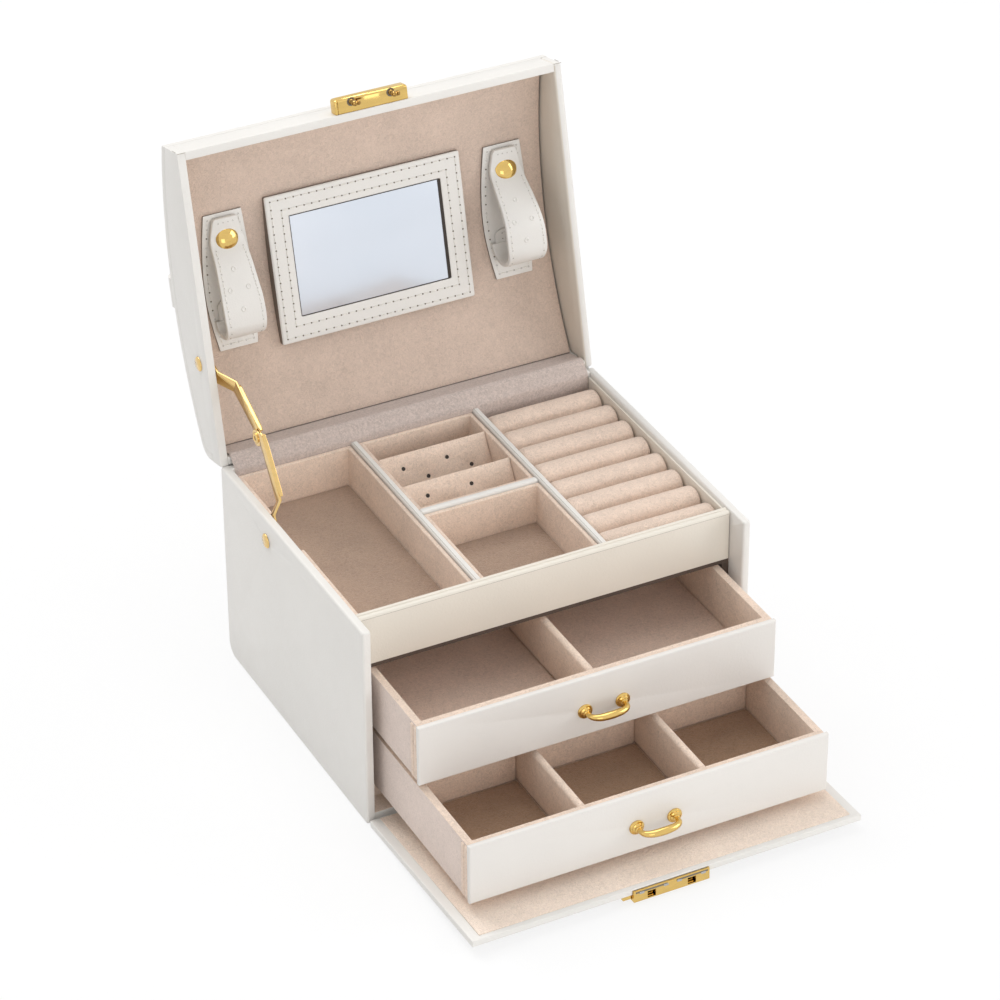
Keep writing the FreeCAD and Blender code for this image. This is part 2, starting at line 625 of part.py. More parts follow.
def band(line, thickness, x0, x1):
    """A strip of that thickness on both sides of a centre line of (y, z) points."""
    fine = Part.BSplineCurve()
    fine.interpolate([V(0, y, z) for y, z in line])
    first, last = fine.FirstParameter, fine.LastParameter
    count = 60
    sides = ([], [])
    for k in range(count + 1):
        u = first + (last - first) * k / count
        p = fine.value(u)
        tangent = fine.tangent(u)[0]
        normal = V(0, -tangent.z, tangent.y)
        sides[0].append(p + normal * (thickness / 2))
        sides[1].append(p - normal * (thickness / 2))
    top = spline_points(sides[0])
    low = spline_points(list(reversed(sides[1])))
    caps = [Part.LineSegment(sides[0][-1], sides[1][-1]).toShape(),
            Part.LineSegment(sides[1][0], sides[0][0]).toShape()]
    face = Part.Face(Part.Wire([top, caps[0], low, caps[1]]))
    solid = face.extrude(V(x1 - x0, 0, 0))
    solid.translate(V(x0, 0, 0))
    return solid


PATCH_ROWS = [(-33.5, 8.6), (-22, 9.9), (-10, 10.9), (-2, 11.2), (8, 10.9), (17, 9.9), (26, 8.6)]
STRAP_ROWS = [(-28.4, 6.4), (-24, 7.3), (-14, 8.3), (-4, 9.2), (6, 9.4), (14, 9.0), (24, 8.0)]
TAB_ROWS = [(4.6, 3.4), (6.4, 6.2), (8.2, 6.8), (10.4, 6.9)]
patch_low = lining_inset + D["patch_t"]
strap_mid = {}
fold_centre = {}
strap_lines = {
    "left": ([(-28.4, 3.3), (-25.6, 3.3), (-22.8, 3.3), (-20.0, 3.3), (-17.4, 3.45), (-12, 4.3), (0, 5.6), (10, 6.1), (15, 6.0)], 16.8, 4.2, 1.8),
    "right": ([(-28.4, 3.3), (-25.6, 3.3), (-22.8, 3.3), (-20.0, 3.3), (-17.6, 3.5), (-13, 4.8), (-3, 8.2), (6, 10.9), (12, 11.9)], 14.6, 7.15, 4.75),
}

for side, sign in (("left", -1), ("right", 1)):
    cx = sign * D["strap_x"]
    lining_r = dome_radius - lining_inset
    shell = Part.makeCylinder(lining_r - 0.02, 40, V(cx - 20, 0, dome_zc), V(1, 0, 0))
    shell = shell.cut(Part.makeCylinder(lining_r - D["patch_t"], 40, V(cx - 20, 0, dome_zc), V(1, 0, 0)))
    patch = shell.common(outline_prism(cx, PATCH_ROWS, 100, 125))
    on_lid(solid_node("%s_strap_patch" % side, patch.Solids[0]))

tabs = []
for side, sign in (("left", -1), ("right", 1)):
    cx = sign * D["strap_x"]
    line = [on_lining(y0, D["patch_t"] + 0.65) for y0 in (3.0, 6.0, 9.0, 12.0)]
    strip = band(line, 1.2, cx - 12, cx + 12)
    tabs.append(strip.common(outline_prism(cx, TAB_ROWS, 100, 125)).Solids[0])
on_lid(solid_node("sewn_strap_ends", Part.makeCompound(tabs)))

for side, sign in (("left", -1), ("right", 1)):
    cx = sign * D["strap_x"]
    leg, fold_y, fold_depth, fold_r = strap_lines[side]
    points = [on_lining(y0, depth) for y0, depth in leg]
    for k in range(0, 10):
        a = math.radians(90 - 20 * k)
        points.append(on_lining(fold_y + fold_r * math.cos(a), fold_depth + fold_r * math.sin(a)))
    fold_centre[side] = on_lining(fold_y, fold_depth)
    strip = band(points, D["strap_t"], cx - 14, cx + 14)
    strip = strip.common(outline_prism(cx, STRAP_ROWS, 90, 125))
    snap_at = on_lining(D["snap_y"], 3.3)
    slope = math.asin(D["snap_y"] / lining_r)
    axis = V(0, math.sin(slope), math.cos(slope))
    foot = V(cx, snap_at[0], snap_at[1]) - axis * 4
    strip = strip.cut(Part.makeCylinder(1.0, 8, foot, axis))
    strap_mid[side] = (V(cx, snap_at[0], snap_at[1]), axis)
    on_lid(solid_node("%s_strap" % side, strip.Solids[0]))

# Snap: the gilt cap and its socket hold the strap between them, the stud is on the patch.
for side in ("left", "right"):
    cap = revolved("%s_snap_cap" % side, [
        ("0", "-2.95"), ("2.2", "-2.75"), ("3.8", "-2.2"), ("snap_rad - 0.35", "-1.55"), ("snap_rad", "-1.2"),
        ("0.96", "-1.2"), ("0.96", "1.2"), ("3.1", "1.2"), ("3.1", "1.65"), ("1.95", "1.65"),
        ("1.95", "1.3"), ("0", "1.3")])
    middle, axis = strap_mid[side]
    cap.Placement = placement(middle, FreeCAD.Rotation(V(0, 0, 1), axis))
    on_lid(cap)

studs = []
for side in ("left", "right"):
    middle, axis = strap_mid[side]
    base = middle + axis * (3.3 - D["patch_t"] - 0.04)
    stud = Part.makeCylinder(2.9, 0.22, base, axis * -1)
    stud = stud.fuse(Part.makeCylinder(1.6, 0.62, base, axis * -1))
    studs.append(stud)
on_lid(solid_node("snap_studs", Part.makeCompound(studs)))

# The hasp on the lid's front wall, with two headed pins that enter the lock.
hasp = on_lid(box_body("hasp_block", ("-hasp_w/2", "hasp_w/2"), ("-case_d/2 - hasp_d", "-case_d/2"),
                       ("hasp_z0", "hasp_z1")))
round_edges(hasp, 1.4, lambda p: near(p.y, -half_d - D["hasp_d"]) and near(p.z, D["hasp_z1"]))
round_edges(hasp, 1.2, lambda p: near(abs(p.x), D["hasp_w"] / 2) and p.y < -half_d - 1 and p.z > D["hasp_z0"] - 1
            and not near(p.y, -half_d))
pins = []
for x in (-D["pin_x"], D["pin_x"]):
    z = D["hasp_z0"]
    pin = Part.makeCone(1.7, 1.35, 0.6, V(x, D["pin_y"], z), V(0, 0, -1))
    pin = pin.fuse(Part.makeCylinder(1.35, 1.9, V(x, D["pin_y"], z), V(0, 0, -1)))
    pin = pin.fuse(Part.makeCylinder(0.8, 3.4, V(x, D["pin_y"], z), V(0, 0, -1)))
    pin = pin.fuse(Part.makeCone(1.35, 0.9, 1.4, V(x, D["pin_y"], z - 3.1), V(0, 0, -1)))
    pins.append(pin)
on_lid(solid_node("hasp_pins", Part.makeCompound(pins)))

# The carry handle: a flat strap over the crown whose ends go into the dome's side edges.
arch = [(-85.9, 0.0), (-85.7, 3.4), (-83.4, 6.2), (-74.0, 7.8), (-40.0, 9.1), (0.0, D["handle_lift"]),
        (40.0, 9.1), (74.0, 7.8), (83.4, 6.2), (85.7, 3.4), (85.9, 0.0)]
handle_y = -1.0
crown_z = D["case_h"] + D["crown"]
flat = band([(x, crown_z + lift) for x, lift in arch], D["handle_t"], -D["handle_w"] / 2, D["handle_w"] / 2)
flat.rotate(V(0, 0, 0), V(0, 0, 1), -90)
flat.translate(V(0, handle_y, 0))
flat = flat.cut(Part.makeCylinder(dome_radius + 0.02, 200, V(-100, 0, dome_zc), V(1, 0, 0)))
on_lid(solid_node("carry_handle", flat.Solids[0]))

# The folding stay on the left: two riveted arms that joggle towards each other.
def stay_arm(label, near_x, far_x, bend0, bend1, pivot, far_hole):
    """An arm along +Y from its rivet, bent from one X plane to another between two distances."""
    body = new_body(label)
    sketch = new_sketch(body, "XY_Plane", "-stay_w/2")
    end = "stay_len + stay_w/2"
    polygon(sketch, [
        (near_x, "-stay_w/2"), (near_x + " + stay_t", "-stay_w/2"), (near_x + " + stay_t", bend0),
        (far_x + " + stay_t", bend1), (far_x + " + stay_t", end), (far_x, end), (far_x, bend1),
        (near_x, bend0)])
    pad(body, sketch, "stay_w")
    half = D["stay_w"] / 2
    far_y = D["stay_len"] + half
    for z in (-half, half):
        for y in (-half, far_y):
            round_edges(body, half - 0.1, lambda p: near(p.z, z) and near(p.y, y))
    for y, radius in (("0", "rivet_rad + 0.05"), ("stay_len", far_hole)):
        hole = new_sketch(body, "YZ_Plane", "-90")
        circle(hole, y, "0", radius)
        pocket(body, hole, "20", True)
    return body


def rivet(label):
    """A rivet along X, in its own frame: a flat head outside the panel, a small one on the arm."""
    return revolved(label, [
        ("0", "-wall - 0.7"), ("rivet_head - 0.5", "-wall - 0.7"), ("rivet_head", "-wall - 0.35"),
        ("rivet_head", "-wall - 0.02"), ("rivet_rad", "-wall - 0.02"), ("rivet_rad", "1.4"),
        ("rivet_head - 0.7", "1.4"), ("rivet_head - 1.3", "2.1"), ("0", "2.1")])


def lid_point(x, y, z):
    return lid_open.multVec(V(x, y, z))


case_rivet_at = V(0, D["stay_case_y"], D["stay_case_z"])
lid_rivet_at = lid_point(0, D["stay_lid_y"], D["stay_lid_z"])


def elbow(a, b):
    """Where two arms of equal length from b and a meet, on the side towards the front."""
    middle = (a + b) * 0.5
    along = b - a
    rise = math.sqrt(D["stay_len"] ** 2 - (along.Length / 2) ** 2)
    across = V(0, -along.z, along.y)
    across.normalize()
    if across.y > 0:
        across = across * -1
    return middle + across * rise


elbow_at = elbow(lid_rivet_at, case_rivet_at)
lower_dir = elbow_at - case_rivet_at
upper_dir = elbow_at - lid_rivet_at
lower = stay_arm("stay_lower_arm", "-83.6", "-79.5", "12.5", "20", case_rivet_at, "rivet_rad")
upper = stay_arm("stay_upper_arm", "-83.6", "-78.2", "8", "14", lid_rivet_at, "rivet_rad + 0.05")
x_turn = math.degrees(math.atan2(lower_dir.z, lower_dir.y))
lower.Placement = placement(case_rivet_at, FreeCAD.Rotation(V(1, 0, 0), x_turn))
x_turn = math.degrees(math.atan2(upper_dir.z, upper_dir.y))
upper.Placement = placement(lid_rivet_at, FreeCAD.Rotation(V(1, 0, 0), x_turn))

to_x = FreeCAD.Rotation(V(0, 0, 1), V(1, 0, 0))
case_rivet = rivet("stay_case_rivet")
case_rivet.Placement = placement(V(-84.0, case_rivet_at.y, case_rivet_at.z), to_x)
lid_rivet = rivet("stay_lid_rivet")
lid_rivet.Placement = placement(V(-84.0, D["stay_lid_y"], D["stay_lid_z"]), to_x)
on_lid(lid_rivet)
eyelet = revolved("stay_elbow_rivet", [
    ("0", "-0.9"), ("rivet_head - 0.7", "-0.9"), ("rivet_head", "-0.05"), ("rivet_rad - 0.02", "-0.05"),
    ("rivet_rad - 0.02", "0.95"), ("0", "0.95")])
eyelet.Placement = placement(V(-79.5, elbow_at.y, elbow_at.z), to_x)

# The front flap, drawn shut: board, lining, and the lock let into its outer face.
flap = box_body("flap_board", ("-flap_w/2", "flap_w/2"), ("flap_out", "flap_out + flap_board_t"),
                ("flap_z0", "flap_z1"))
round_edges(flap, 1.3, lambda p: near(p.z, D["flap_z0"]))
round_edges(flap, 0.9, lambda p: near(p.y, D["flap_out"]) and p.z > 2)
cut_box(flap, ("-lock_w/2 - 0.1", "lock_w/2 + 0.1"), ("flap_out - 1", "lock_in + 0.05"),
        ("lock_z0 - 0.1", "flap_z1 + 1"))
flap_lining = box_body("flap_lining", ("-83.3", "83.3"),
                       ("flap_out + flap_board_t", "flap_out + flap_board_t + flap_lining_t"), ("1.8", "90.2"))

lock_x = ("-lock_w/2", "lock_w/2")
lock = box_body("lock_case", lock_x, ("lock_out", "lock_in"), ("lock_z0", "lock_z1"))
round_edges(lock, 0.5, lambda p: near(p.y, D["lock_out"]))
cut_box(lock, ("-lock_w/2 + lock_wall", "lock_w/2 - lock_wall"), ("lock_out + lock_wall", "lock_in + 0.1"),
        ("lock_z0 + lock_wall", "lock_z1 - lock_wall"))
cut_box(lock, ("-pin_x - 1.85", "-pin_x + 1.85"), ("pin_y - 1.5", "pin_y + 1.5"), ("91", "lock_z1 + 1"))
cut_box(lock, ("pin_x - 1.85", "pin_x + 1.85"), ("pin_y - 1.5", "pin_y + 1.5"), ("91", "lock_z1 + 1"))
cut_box(lock, ("-lock_w/2 - 1", "-lock_w/2 + 2"), ("pin_y - 1.3", "pin_y + 1.3"), ("88.7", "91.9"))
bore = new_sketch(lock, "XZ_Plane", "-lock_out - lock_wall - 0.05")
circle(bore, "-5", "84.8", "2.55")
pocket(lock, bore, "2", True)
base_plate = box_body("lock_base_plate", ("-lock_w/2 + lock_wall + 0.05", "lock_w/2 - lock_wall - 0.05"),
                      ("lock_in - 0.7", "lock_in"), ("lock_z0 + lock_wall + 0.05", "lock_z1 - lock_wall - 0.05"))

slide = box_body("lock_slide", ("-15.9", "13.0"), ("-73.9", "-70.3"), ("90.6", "91.4"))
for x in ("-pin_x", "pin_x"):
    cut_box(slide, ("%s - 2.8 - 1.6" % x, "%s - 2.8 + 1.6" % x), ("pin_y - 1.5", "pin_y + 1.5"), ("90", "92"))
    cut_box(slide, ("%s - 2.8" % x, "%s + 1.0" % x), ("pin_y - 0.95", "pin_y + 0.95"), ("90", "92"))
knob = new_sketch(slide, "XY_Plane", "89.0")
rectangle(knob, "-20.8", "-15.0", "pin_y - 1.2", "pin_y + 0.7")
pad(slide, knob, "2.4")
lug = new_sketch(slide, "XY_Plane", "87.6")
rectangle(lug, "-6.9", "-6.1", "-73.4", "-70.6")
pad(slide, lug, "3.2")
lug = new_sketch(slide, "XY_Plane", "84.5")
rectangle(lug, "3.2", "4.0", "-73.4", "-70.6")
pad(slide, lug, "6.3")

barrel = new_body("lock_barrel")
disc = new_sketch(barrel, "XY_Plane", "0")
circle(disc, "0", "0", "2.5")
pad(barrel, disc, "4.4")
keyway = new_sketch(barrel, "XY_Plane", "0")
rectangle(keyway, "-1.6", "1.6", "-0.4", "0.4")
pocket(barrel, keyway, "1.6", True)
cam = new_sketch(barrel, "XY_Plane", "2.2")
rectangle(cam, "0", "4.6", "-0.8", "0.8")
pad(barrel, cam, "1.2")
barrel.Placement = placement(V(-5.0, D["lock_out"] + 0.1, 84.8), FreeCAD.Rotation(V(1, 0, 0), -90))

# The drawers, drawn shut.
def pull_shape(x, z):
    """A bow pull: two disc feet and a bow that is thickest in the middle."""
    front = D["bay_front"]
    half = D["pull_span"] / 2
    reach = D["pull_reach"]
    feet = []
    for sign in (-1, 1):
        foot = Part.makeCylinder(3.2, 1.0, V(x + sign * half, front, z), V(0, -1, 0))
        feet.append(foot.fuse(Part.makeCylinder(1.0, 1.5, V(x + sign * half, front + 1.5, z), V(0, -1, 0))))
    rings = []
    steps = 12
    for k in range(steps + 1):
        a = math.pi * k / steps
        centre = V(x - (half + 0.2) * math.cos(a) * (1 - 0.06 * math.sin(a)),
                   front - 0.8 - (reach - 2.4) * math.sin(a) ** 0.8, z)
        b = a + 0.01
        c = a - 0.01
        if k == 0:
            direction = V(0, -1, 0)
        elif k == steps:
            direction = V(0, 1, 0)
        else:
            ahead = V((half + 0.2) * (math.cos(c) - math.cos(b)),
                      -(reach - 2.4) * (math.sin(b) ** 0.8 - math.sin(c) ** 0.8), 0)
            direction = ahead
        radius = 1.1 + 0.7 * math.sin(a) ** 1.5
        rings.append(Part.Wire(Part.Circle(centre, direction, radius).toShape()))
    bow = Part.makeLoft(rings, True, False)
    return bow.fuse(feet[0]).fuse(feet[1]).removeSplitter()


def drawer(name, front_z, box_z, shift, splits):
    """A drawer: front board, lined box, dividers, pull."""
    front = box_body("%s_drawer_front" % name, ("-drawer_w/2", "drawer_w/2"),
                     ("bay_front", "bay_front + drawer_front_t"), (front_z, front_z + " + front_high"))
    round_edges(front, 0.7, lambda p: near(p.y, D["bay_front"]))
    for sign in ("-", "+"):
        hole = new_sketch(front, "XZ_Plane", "-bay_front - drawer_front_t - 1")
        circle(hole, "pull_x %s pull_span/2" % sign, front_z + " + pull_up", "1.0")
        pocket(front, hole, "5", True)
    box = open_tray("%s_drawer_box" % name, ("-drawer_box_w/2", "drawer_box_w/2"),
                    ("bay_front + drawer_front_t", "drawer_back"), box_z, "drawer_wall", "drawer_floor")
    parts = [front, box]
    z0 = "(%s) + drawer_floor" % box_z[0]
    z1 = "(%s) - 0.7" % box_z[1]
    boards = []
    for x, y in splits:
        board = doc.addObject("Part::Box", "Split")
        for prop, text in (("Length", "(%s) - (%s)" % (x[1], x[0])), ("Width", "(%s) - (%s)" % (y[1], y[0])),
                           ("Height", "(%s) - (%s)" % (z1, z0)), ("Placement.Base.x", x[0]),
                           ("Placement.Base.y", y[0]), ("Placement.Base.z", z0)):
            board.setExpression(prop, named(text))
        boards.append(board)
    dividers = doc.addObject("Part::Compound", "Splits_" + name)
    dividers.Links = boards
    keep(dividers, "%s_drawer_dividers" % name)
    parts.append(dividers)
    z = D["%s_front_z" % name] + D["pull_up"]
    parts.append(solid_node("%s_drawer_pull" % name, pull_shape(D["pull_x"], z)))
    screws = []
    inside = D["bay_front"] + D["drawer_front_t"] + D["drawer_wall"]
    for sign in (-1, 1):
        x = D["pull_x"] + sign * D["pull_span"] / 2
        head = Part.makeCylinder(2.4, 0.9, V(x, inside, z), V(0, 1, 0))
        shank = Part.makeCylinder(1.0, 2.9, V(x, inside, z), V(0, -1, 0))
        screws.append(head.fuse(shank))
    parts.append(solid_node("%s_pull_screws" % name, Part.makeCompound(screws)))
    for sign in ("-", "+"):
        hole = new_sketch(box, "XZ_Plane", "-bay_front - drawer_front_t - drawer_wall - 1")
        circle(hole, "pull_x %s pull_span/2" % sign, front_z + " + pull_up", "1.0")
        pocket(box, hole, "drawer_wall + 3", True)
    for part in parts:
        moved.append((part, shift))


moved = []
inner_front = "bay_front + drawer_front_t + drawer_wall"
inner_back = "drawer_back - drawer_wall"
drawer("upper", "upper_front_z", ("40.2", "66.6"), upper_shift, [(("-2.8", "0.6"), (inner_front, inner_back))])
middle_y = ("0.8", "4.2")
inner_left = "-drawer_box_w/2 + drawer_wall"
inner_right = "drawer_box_w/2 - drawer_wall"
drawer("lower", "lower_front_z", ("11.5", "37.8"), lower_shift, [
    (("-29.8", "-26.4"), (inner_front, inner_back)),
    (("24.4", "27.8"), (inner_front, inner_back)),
    ((inner_left, "-29.8"), middle_y),
    (("-26.4", "24.4"), middle_y),
    (("27.8", inner_right), middle_y)])

doc.recompute()

for obj in lid_parts:
    obj.Placement = lid_open.multiply(obj.Placement)
for obj in (flap, flap_lining, lock, base_plate, slide, barrel):
    obj.Placement = flap_open.multiply(obj.Placement)
for obj, shift in moved:
    obj.Placement = shift.multiply(obj.Placement)
doc.recompute()

failed = [o.Label for o in doc.Objects if "Invalid" in o.State or "Error" in o.State]
if failed:
    raise SystemExit("failed objects: " + ", ".join(failed))
for obj in nodes:
    if obj.Shape.isNull() or not obj.Shape.isValid() or not obj.Shape.Solids:
        raise SystemExit("bad shape: " + obj.Label)

os.makedirs("parts", exist_ok=True)
for obj in nodes:
    obj.Shape.exportStep(os.path.join("parts", obj.Label + ".step"))
print(len(nodes), "sub-parts")
print("elbow", elbow_at, "lid rivet", lid_rivet_at)
for side in ("left", "right"):
    y, z = fold_centre[side]
    print(side, "strap fold centre", lid_point(0, y, z))
print("lock barrel centre", flap_open.multVec(V(-5.0, -72.5, 84.8)))
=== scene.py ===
import json
import math

import bpy
from mathutils import Matrix, Vector

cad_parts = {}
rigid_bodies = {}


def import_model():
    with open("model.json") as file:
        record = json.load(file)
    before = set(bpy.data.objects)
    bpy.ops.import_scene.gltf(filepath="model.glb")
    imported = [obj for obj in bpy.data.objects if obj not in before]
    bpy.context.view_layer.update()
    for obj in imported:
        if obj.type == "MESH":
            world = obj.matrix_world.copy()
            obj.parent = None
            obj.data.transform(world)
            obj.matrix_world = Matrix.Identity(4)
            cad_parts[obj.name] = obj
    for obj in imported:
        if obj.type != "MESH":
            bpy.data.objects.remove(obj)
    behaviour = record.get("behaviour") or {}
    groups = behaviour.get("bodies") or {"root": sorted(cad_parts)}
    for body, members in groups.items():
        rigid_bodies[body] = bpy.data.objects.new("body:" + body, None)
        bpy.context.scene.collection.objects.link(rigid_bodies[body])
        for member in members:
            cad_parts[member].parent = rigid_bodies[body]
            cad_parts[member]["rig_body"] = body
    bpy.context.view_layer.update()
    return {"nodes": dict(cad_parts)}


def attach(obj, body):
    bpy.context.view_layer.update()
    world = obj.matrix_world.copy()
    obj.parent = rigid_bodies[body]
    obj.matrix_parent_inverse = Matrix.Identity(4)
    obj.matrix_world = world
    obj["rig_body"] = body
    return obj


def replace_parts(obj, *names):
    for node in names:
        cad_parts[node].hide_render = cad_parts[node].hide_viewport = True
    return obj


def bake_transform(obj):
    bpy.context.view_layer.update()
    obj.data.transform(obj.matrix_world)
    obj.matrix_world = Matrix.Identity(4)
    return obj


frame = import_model()

# A white travel jewellery box, drawn with its lid open, its drawers out and its flap down.
# Lengths are written in millimetres and turned into metres by mm(). Most of what sits on the
# lid or the flap is laid out with that part closed, and LID_TURN or FLAP_TURN then opens it.

ACROSS = Vector((1, 0, 0))
FORWARD = Vector((0, -1, 0))
UP = Vector((0, 0, 1))
DOWN = Vector((0, 0, -1))


def mm(*lengths):
    return Vector(lengths) * 0.001


def hinged(y, z, degrees):
    """A turn about the hinge line that runs across the box at y and z."""
    pivot = mm(0, y, z)
    turn = Matrix.Rotation(math.radians(degrees), 4, "X")
    return Matrix.Translation(pivot) @ turn @ Matrix.Translation(-pivot)


LID_TURN = hinged(68, 93, -102.94)
LID_BACK = LID_TURN.inverted()
FLAP_TURN = hinged(-70.45, 1.05, 87.62)
UPPER_OUT = Matrix.Translation(mm(0, -44.9, 0))
LOWER_OUT = Matrix.Translation(mm(0, -88.4, 0))


# Camera, from the fitted view of the photograph.

CAMERA_LENS = 149.8946
CAMERA_PLACE = (-0.64177, -1.28091, 1.02580)
CAMERA_AWAY = Vector((-0.378580, -0.746707, 0.546883))
CAMERA_ROLL = -0.005343


def set_camera():
    data = bpy.data.cameras.new("camera")
    data.lens = CAMERA_LENS
    data.sensor_width = 36
    data.clip_end = 20
    camera = bpy.data.objects.new("camera", data)
    bpy.context.scene.collection.objects.link(camera)
    right = CAMERA_AWAY.cross(DOWN).normalized()
    up = CAMERA_AWAY.cross(right)
    across = right * math.cos(CAMERA_ROLL) + up * math.sin(CAMERA_ROLL)
    upward = -right * math.sin(CAMERA_ROLL) + up * math.cos(CAMERA_ROLL)
    turn = Matrix((across, upward, CAMERA_AWAY)).transposed().to_4x4()
    camera.matrix_world = Matrix.Translation(CAMERA_PLACE) @ turn
    bpy.context.scene.camera = camera


# Finishes.

# Polyurethane and polyester both have an IOR of about 1.5.
PLASTIC_IOR = 1.5
# Nearly all of a noise lies between these two values.
NOISE_SPAN = {"From Min": 0.3, "From Max": 0.7}


def linear(colour, factor=1.0):
    """An sRGB hex colour as linear light, made lighter or darker by a factor."""
    parts = [int(colour[k:k + 2], 16) / 255 for k in (1, 3, 5)]
    return tuple(factor * (c / 12.92 if c <= 0.04045 else ((c + 0.055) / 1.055) ** 2.4)
                 for c in parts)


def per(size):
    """The scale at which one grain of a pattern is that many millimetres."""
    return 1000 / size


def add(tree, kind, settings):
    """Adds a node, or takes one that is there, with its settings and links.

    A key is a socket's name or number, a property of the node, or "stops", the (position,
    colour) pairs of a ramp. A node or a socket is linked in, and any other value is set."""
    node = tree.nodes.new("ShaderNode" + kind) if isinstance(kind, str) else kind
    for key, value in settings.items():
        if isinstance(value, bpy.types.Node):
            value = value.outputs[0]
        if key == "stops":
            stops = node.color_ramp.elements
            while len(stops) < len(value):
                stops.new(0.5)
            for stop, (position, colour) in zip(stops, value):
                stop.position, stop.color = position, (*colour, 1)
        elif isinstance(value, bpy.types.NodeSocket):
            tree.links.new(value, node.inputs[key])
        elif isinstance(key, str) and key.islower():
            setattr(node, key, value)
        else:
            node.inputs[key].default_value = value
    return node


def started(name):
    """A new material, its tree and surface, and the place where its patterns are read."""
    finish = bpy.data.materials.new(name)
    finish.use_nodes = True
    tree = finish.node_tree
    where = add(tree, "TexCoord", {}).outputs["Object"]
    return finish, tree, tree.nodes["Principled BSDF"], where


def leatherette(name, colour, roughness=0.40, grain=0.5):
    """Polyurethane leatherette, embossed with a fine pebble and drawn over board.

    It gives a soft gloss that the pebble breaks up, over a slow wave from the board below.
    The real pebble is about 0.4 mm and is drawn at 0.8 mm, so that it shows."""
    finish, tree, surface, where = started(name)
    tone = add(tree, "TexNoise", {"Vector": where, "Scale": per(55.5), "Detail": 4})
    board = add(tree, "TexNoise", {"Vector": where, "Scale": per(22.2)})
    rubbed = add(tree, "TexNoise", {"Vector": where, "Scale": per(6.25), "Detail": 3})
    pebble = add(tree, "TexVoronoi", {"feature": "SMOOTH_F1", "Vector": where,
                                      "Scale": per(0.8), "Smoothness": 0.6})
    wave = add(tree, "Bump", {"Height": board, "Distance": 0.0006, "Strength": 0.22})
    add(tree, surface, {
        "Base Color": add(tree, "ValToRGB", {"Fac": tone, "stops": [
            (0.35, linear(colour, 0.965)), (0.65, linear(colour))]}),
        "Roughness": add(tree, "MapRange", {**NOISE_SPAN, "Value": rubbed,
                                            "To Min": roughness - 0.05,
                                            "To Max": roughness + 0.07}),
        "Normal": add(tree, "Bump", {"Height": pebble, "Distance": 0.00012,
                                     "Strength": grain, "Normal": wave}),
        "IOR": PLASTIC_IOR, "Specular IOR Level": 0.45,
        "Coat Weight": 0.12, "Coat Roughness": 0.3})
    return finish


def woven_satin(name, colour):
    """Polyester satin, woven in a close rib: a dull shine, with painted shade in the rib's
    hollows and painted light on its crests.

    The real rib is about 0.3 mm and is drawn at 1 mm, so that it shows."""
    finish, tree, surface, where = started(name)
    rib = add(tree, "TexNoise", {"Vector": where, "Scale": per(1), "Detail": 3,
                                 "Roughness": 0.6, "Distortion": 1})
    add(tree, surface, {
        "Base Color": add(tree, "ValToRGB", {"Fac": rib, "stops": [
            (0.36, linear(colour, 0.84)), (0.64, linear(colour, 1.12))]}),
        "Normal": add(tree, "Bump", {"Height": rib, "Distance": 0.0006, "Strength": 0.7}),
        "Roughness": 0.85, "IOR": PLASTIC_IOR, "Specular IOR Level": 0.12,
        "Sheen Weight": 0.4, "Sheen Tint": (*linear("#FFF9F9"), 1)})
    return finish


def velvet(name, colour, nap=0.9, sheen=0.35, contrast=0.14):
    """Polyester velvet or suede, brushed: a short uneven nap, its colour lighter on high pile,
    a painted sheen, and darker on low pile, a painted shade.

    Tufts of the pile are about 0.3 mm and are drawn at 1.2 mm, so that they show, among
    patches of 17 mm that hands have brushed one way. A sheen softens the edges."""
    finish, tree, surface, where = started(name)
    patches = add(tree, "TexNoise", {"Vector": where, "Scale": per(16.7), "Detail": 3,
                                     "Roughness": 0.6})
    tufts = add(tree, "TexNoise", {"Vector": where, "Scale": per(1.22), "Detail": 3,
                                   "Roughness": 0.62, "Distortion": 1.5})
    share = add(tree, "Math", {"operation": "MULTIPLY", 0: patches, 1: 0.28})
    pile = add(tree, "Math", {"operation": "MULTIPLY_ADD", 0: tufts, 1: 0.72, 2: share})
    add(tree, surface, {
        "Base Color": add(tree, "ValToRGB", {"Fac": pile, "stops": [
            (0.34, linear(colour, 1 - contrast * 1.25)), (0.50, linear(colour)),
            (0.66, linear(colour, 1 + contrast))]}),
        "Normal": add(tree, "Bump", {"Height": pile, "Distance": 0.0008, "Strength": nap}),
        "Roughness": 0.92, "IOR": PLASTIC_IOR, "Specular IOR Level": 0.15,
        "Sheen Weight": sheen, "Sheen Roughness": 0.45,
        "Sheen Tint": (*linear("#FFF7F1"), 1)})
    return finish


def plated(name, colour, roughness):
    """Plated zinc or steel, polished: a bright mirror with faint rub marks up and down.

    Its slight orange skin is about 2.4 mm from crest to crest."""
    finish, tree, surface, where = started(name)
    where = add(tree, "Mapping", {"Vector": where, "Scale": (1, 1, 3)})
    tone = add(tree, "TexNoise", {"Vector": where, "Scale": per(4.55), "Detail": 3})
    rubbed = add(tree, "TexNoise", {"Vector": where, "Scale": per(1.11)})
    skin = add(tree, "TexNoise", {"Vector": where, "Scale": per(2.38)})
    add(tree, surface, {
        "Base Color": add(tree, "ValToRGB", {"Fac": tone, "stops": [
            (0.3, linear(colour, 0.9)), (0.7, linear(colour))]}),
        "Roughness": add(tree, "MapRange", {**NOISE_SPAN, "Value": rubbed,
                                            "To Min": roughness - 0.04,
                                            "To Max": roughness + 0.06}),
        "Normal": add(tree, "Bump", {"Height": skin, "Distance": 0.0001, "Strength": 0.12}),
        "Metallic": 1})
    return finish


